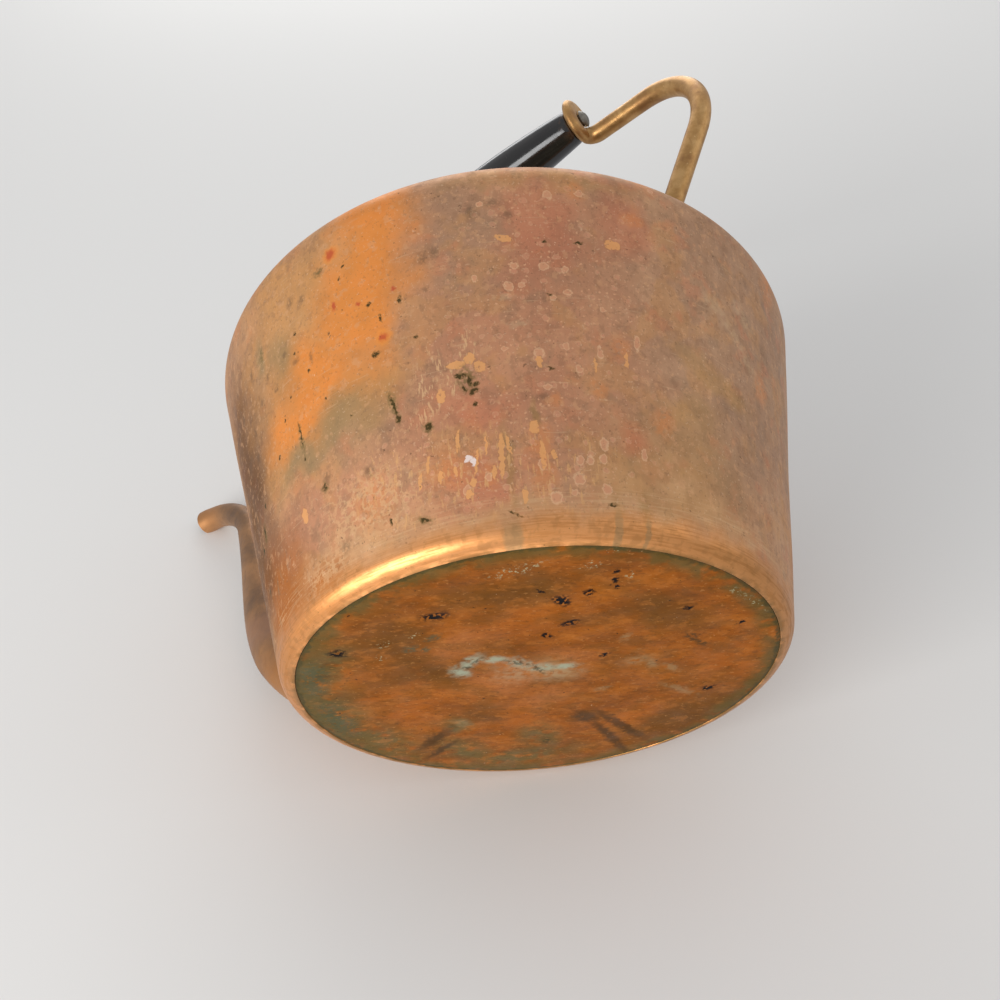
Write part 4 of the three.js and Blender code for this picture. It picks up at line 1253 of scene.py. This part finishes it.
def baseCopper():
    finish, roughness = baseFinish, baseFinish["roughness"]
    material, tree, shader, coords = surface("scorchedCopperPlate", finish["metallic"], roughness[1])
    _, flat = axisReach(tree, coords)
    turn = {"Vector": coords, "Angle": -math.radians(finish["wearAngle"])}
    along = addNode(tree, "VectorRotate", turn, rotation_type="Z_AXIS").outputs[0]
    rough, fine = [ragged(tree, flat, coords, *sizes) for sizes in finish["edges"]]
    ground = mottle(tree, along, finish["groundSize"], finish["grounds"], 0.13, (1.9, 1, 1))
    first, full, edge = finish["grime"]
    uneven = addNode(tree, "VectorMath", {0: rough}, operation="LENGTH").outputs["Value"]
    reach = addNode(tree, "VectorMath", {0: fine}, operation="LENGTH").outputs["Value"]
    broad = lambda name: marks(tree, rough, finish[name], 0.7)
    small = lambda name, soft=0.6: marks(tree, fine, finish[name], soft)
    cloudy = lambda *sizes, **more: stains(tree, coords, *sizes, **more)
    smeared = lambda *sizes, **more: stains(tree, along, *sizes, **more)
    layers = [
        ("#644216", 0.7, broad("brown")),
        ("#b4641c", 0.45, broad("brightOrange")),
        ("#b4703c", 0.55, broad("pink")),
        ("#665a32", 0.85, broad("greenGrey"), cloudy(7, 0.3, 0.52, seed=8, detail=8)),
        ("#764c1a", 0.4, smeared(9, 0.48, 0.6, (1.6, 1, 1), seed=3, detail=8)),
        ("#6d4012", 0.25, smeared(3, 0.54, 0.64, (2, 1, 1), seed=5, detail=8)),
        ("#d89a58", 0.25, smeared(1.2, 0.62, 0.66, (1.6, 1, 1), seed=43, detail=4)),
        ("#bc7430", 0.3, smeared(4, 0.54, 0.66, (1.4, 1, 1), seed=11, detail=8)),
        ("#5c3a14", 0.25, cloudy(1.4, 0.56, 0.68, seed=14)),
        ("#655428", 0.8, (uneven, first, full), cloudy(9, 0.36, 0.52, seed=22, detail=8)),
        ("#4a3216", 0.8, small("darkSmears"), cloudy(3, 0.24, 0.44, seed=47)),
        ("#b09672", 0.6, small("whiteHaze", 0.9), smeared(3, 0.3, 0.6, seed=29, detail=8)),
        ("#a08a62", 0.45, small("paleSmears", 0.8), cloudy(2.6, 0.3, 0.55, seed=24, detail=6)),
        ("#a4aa92", 0.85, small("verdigris", 0.8), smeared(3, 0.26, 0.56, seed=2, detail=8)),
        ("#4a5640", 0.6, small("teal"), cloudy(1.4, 0.36, 0.5, seed=26, detail=6)),
        ("#40351e", 0.7, small("darkSpots"), cloudy(1.6, 0.38, 0.54, seed=28, detail=6)),
        ("#0c0606", 1.0, small("soot", 0.5), cloudy(1.4, 0.45, 0.48, detail=4, seed=6)),
        ("#b4b08a", 0.75, small("crystals"), cloudy(1.1, 0.55, 0.62, detail=3, seed=4)),
        ("#2e1e10", 0.8, cloudy(1.6, 0.72, 0.77, detail=2, seed=17)),
        ("#dcb890", 0.8, cloudy(1.1, 0.76, 0.81, detail=2, seed=19)),
        ("#50300e", 0.25, smeared(1.3, 0.6, 0.65, (2, 1, 1), seed=41, detail=4)),
        ("#4c4526", 0.8, (reach, full, edge), cloudy(8, 0.3, 0.5, seed=45, detail=6)),
    ]
    tree.links.new(layered(tree, ground, layers), shader.inputs["Base Color"])
    worn(tree, shader, coords, roughness, 9, 2.2, 0.25)
    return material


# Copper, brass and steel of the smaller pieces: three tones in clouds, specks, and drawing lines
def agedMetal(name, tones, size, metallic, roughness, specks, lines=(1, 1, 1), seed=0.0, extra=None):
    material, tree, shader, coords = surface(name, metallic, roughness)
    ground = mottle(tree, coords, size, tones)
    layers = [
        (tones[0], 0.35, stains(tree, coords, 1.8, 0.56, 0.7, lines, seed=seed + 3)),
        (specks, 0.7, stains(tree, coords, 1.1, 0.74, 0.8, detail=1, seed=seed + 5)),
    ]
    layers += extra(tree, coords) if extra else []
    tree.links.new(layered(tree, ground, layers), shader.inputs["Base Color"])
    worn(tree, shader, coords, (roughness - 0.08, roughness + 0.1), 5, 1.2, 0.1)
    return material


def spoutStains(tree, coords):
    axes = addNode(tree, "SeparateXYZ", {0: coords})
    height = axes.outputs["Z"]
    return [
        ("#b0743a", 0.75, (height, 70, 38)),
        ("#a07860", 0.5, (height, 86, 76), (height, 60, 70)),
        ("#b07c4e", 0.75, (axes.outputs["X"], -182, -196)),
    ]


def lidWear(tree, coords):
    # Its rim is rubbed golden
    reach, _ = axisReach(tree, coords)
    uneven = stains(tree, coords, 4, 0.3, 0.55, seed=9)
    return [("#b0803f", 0.8, (reach, lidRadius - 4, lidRadius - 1), uneven)]


# Spout: copper sheet rolled and planished, greyer than the drum, with orange near the root and the tip
spoutTones = ["#745c4a", "#8c6b4f", "#a17956"]
spoutCopper = agedMetal("planishedCopper", spoutTones, 22, 0.65, 0.5, "#4a3c30", (1, 1, 6), 1, spoutStains)
agedCopper = wallCopper()
bottomCopper = baseCopper()
# Rods, lugs and knob: drawn and turned brass tarnished to golden brown, with rubbed bright points
brassTones = ["#a0774c", "#b98f5a", "#cda46e"]
agedBrass = agedMetal("drawnBrass", brassTones, 9, 0.85, 0.42, "#e8c48c", (1, 1, 5), 2)
# Lid: spun brass, its olive grey partly tarnish and partly a painted reflection of a dim room, brighter at
# its rim
lidTarnishAndDimReflection = ["#645a48", "#776b52", "#8b7d5c"]
lidBrass = agedMetal("spunBrass", lidTarnishAndDimReflection, 16, 0.7, 0.46, "#b4a684", (6, 6, 1), 4, lidWear)
# Spindle: drawn steel gone dull
steelTones = ["#5f5b54", "#77726a", "#8b867c"]
dullSteel = agedMetal("drawnSteel", steelTones, 5, 0.9, 0.42, "#6a4a34", (8, 1, 1), 6)


def lacquer():
    # Turned beech under black shellac: glossy, with hairline scratches and a little brown at the worn ends
    material, tree, shader, coords = surface("blackShellac", 0.0, 0.16)
    shader.inputs["Specular IOR Level"].default_value = 0.6
    axes = addNode(tree, "SeparateXYZ", {0: coords})
    along = addNode(tree, "Math", {0: axes.outputs["X"]}, operation="ABSOLUTE").outputs[0]
    ground = mottle(tree, coords, 6, ["#141312", "#191817", "#211f1d"], 0.14, (6, 1, 1))
    layers = [
        ("#2a2725", 0.4, stains(tree, coords, 1.2, 0.5, 0.7, (20, 1, 1), seed=3)),
        ("#4a3424", 0.7, (along, 49, 55), stains(tree, coords, 3, 0.45, 0.6, seed=2)),
        ("#45403a", 0.4, stains(tree, coords, 0.5, 0.7, 0.76, (1, 8, 8), seed=5, detail=1)),
    ]
    tree.links.new(layered(tree, ground, layers), shader.inputs["Base Color"])
    worn(tree, shader, coords, (0.08, 0.2), 3, 6, 0.1)
    return material


blackLacquer = lacquer()
print("materials made:", len(bpy.data.materials))

drumWall(agedCopper)
basePan(bottomCopper)
spoutPiece(spoutCopper)
domedTop(agedCopper)
neckRing(agedCopper)
lidCap(lidBrass)
lidKnob(agedBrass)
knobWasher(agedBrass)
for side, end in [(-1, "front"), (1, "rear")]:
    lugPiece(side, end + "Lug", end + "_lug", agedBrass)
    for i, hand in enumerate((-1, 1)):
        rivetPiece(side, hand, f"{end}LugRivet{i + 1}", f"{end}_lug_rivet_{i + 1}", agedBrass)
    armPiece(side, end + "Arm", end + "_arm", agedBrass)
gripPiece(blackLacquer)
spindlePiece(dullSteel)
print("pieces built")

# Camera, where the viewer is
lens = bpy.data.cameras.new("camera")
lens.lens = viewer["lens"]
lens.sensor_width = viewer["sensor"]
lens.clip_start, lens.clip_end = viewer["clip"]
camera = linked("camera", lens)
back = -Vector(viewer["forward"]).normalized()
up = Vector(viewer["up"])
up = (up - back * up.dot(back)).normalized()
across = up.cross(back)
turn = Matrix((across, up, back)).transposed().to_4x4()
camera.matrix_world = Matrix.Translation(Vector(viewer["place"]) * millimetre) @ turn
bpy.context.scene.camera = camera

# Stage: a pale floor under the kettle, and the pale board that it lies on in the main view
stage = {
    "floorColour": "#dddcd9",
    "floorReach": 6000,
    "boardReach": 2200,
    "floorGap": 0.4,
    "restWay": (-0.60, 0.80),  # side of the drum that the board touches
    "restHeight": 60,
    "restGap": 1,
    "skyColour": "#fafbff",
    "skyCamera": 0.92,
    "skyLight": 0.6,
}


def paleBoard(name):
    # Seen from its front alone, so that the camera behind it looks through
    material = bpy.data.materials.new(name)
    material.use_nodes = True
    tree = material.node_tree
    tree.nodes.clear()
    side = addNode(tree, "NewGeometry")
    clear = addNode(tree, "BsdfTransparent")
    matt = addNode(tree, "BsdfDiffuse", {"Color": toLinear(stage["floorColour"])})
    both = {0: side.outputs["Backfacing"], 1: matt.outputs[0], 2: clear.outputs[0]}
    both = addNode(tree, "MixShader", both)
    addNode(tree, "OutputMaterial", {"Surface": both.outputs[0]})
    return material


def board(name, centre, normal, reach, material):
    form = bmesh.new()
    bmesh.ops.create_grid(form, x_segments=1, y_segments=1, size=reach)
    turn = Vector((0, 0, 1)).rotation_difference(Vector(normal)).to_matrix().to_4x4()
    bmesh.ops.transform(form, matrix=Matrix.Translation(centre) @ turn, verts=form.verts)
    plane = inMetres(form, name)
    plane.data.materials.append(material)
    for ray in ("diffuse", "glossy", "transmission", "shadow", "volume_scatter"):
        setattr(plane, "visible_" + ray, False)


paleMatt = paleBoard("paleMattBoard")
board("floor", (0, 0, -stage["floorGap"]), (0, 0, 1), stage["floorReach"], paleMatt)
restWay = Vector((*stage["restWay"], 0)).normalized()
restRadius, restHeight = wallAt(stage["restHeight"], 0)
restNormal = -restWay * math.cos(wallTaper) + Vector((0, 0, math.sin(wallTaper)))
restPoint = restWay * restRadius + Vector((0, 0, restHeight)) - restNormal * stage["restGap"]
board("restingBoard", restPoint, restNormal, stage["boardReach"], paleMatt)

# Soft white lamps: place, the point that each faces, side and watts
lamps = {
    "windowLamp": ((-460, -1020, -760), (0, 0, 60), 900, 19),
    "topLamp": ((100, -100, 1500), (0, 0, 100), 1000, 7),
    "fillLamp": ((1450, 350, 420), (0, 0, 100), 1300, 2.5),
    "lowLamp": ((-620, 500, -1150), (0, 0, 0), 900, 4),
}
for name, (place, target, size, watts) in lamps.items():
    lamp = bpy.data.lights.new(name, "AREA")
    lamp.shape = "SQUARE"
    lamp.size = size * millimetre
    lamp.energy = watts
    thing = linked(name, lamp)
    thing.location = Vector(place) * millimetre
    way = (Vector(target) - Vector(place)).normalized()
    thing.rotation_mode = "QUATERNION"
    thing.rotation_quaternion = way.to_track_quat("-Z", "Y")

world = bpy.data.worlds.new("paleStudio")
bpy.context.scene.world = world
world.use_nodes = True
tree = world.node_tree
tree.nodes.clear()
ray = addNode(tree, "LightPath")
strength = {"Value": ray.outputs["Is Camera Ray"], "To Min": stage["skyLight"], "To Max": stage["skyCamera"]}
strength = addNode(tree, "MapRange", strength)
sky = {"Color": toLinear(stage["skyColour"]), "Strength": strength.outputs["Result"]}
sky = addNode(tree, "Background", sky)
addNode(tree, "OutputWorld", {"Surface": sky.outputs[0]})

bpy.context.scene.view_settings.view_transform = "Standard"
print("stage, camera and light set")
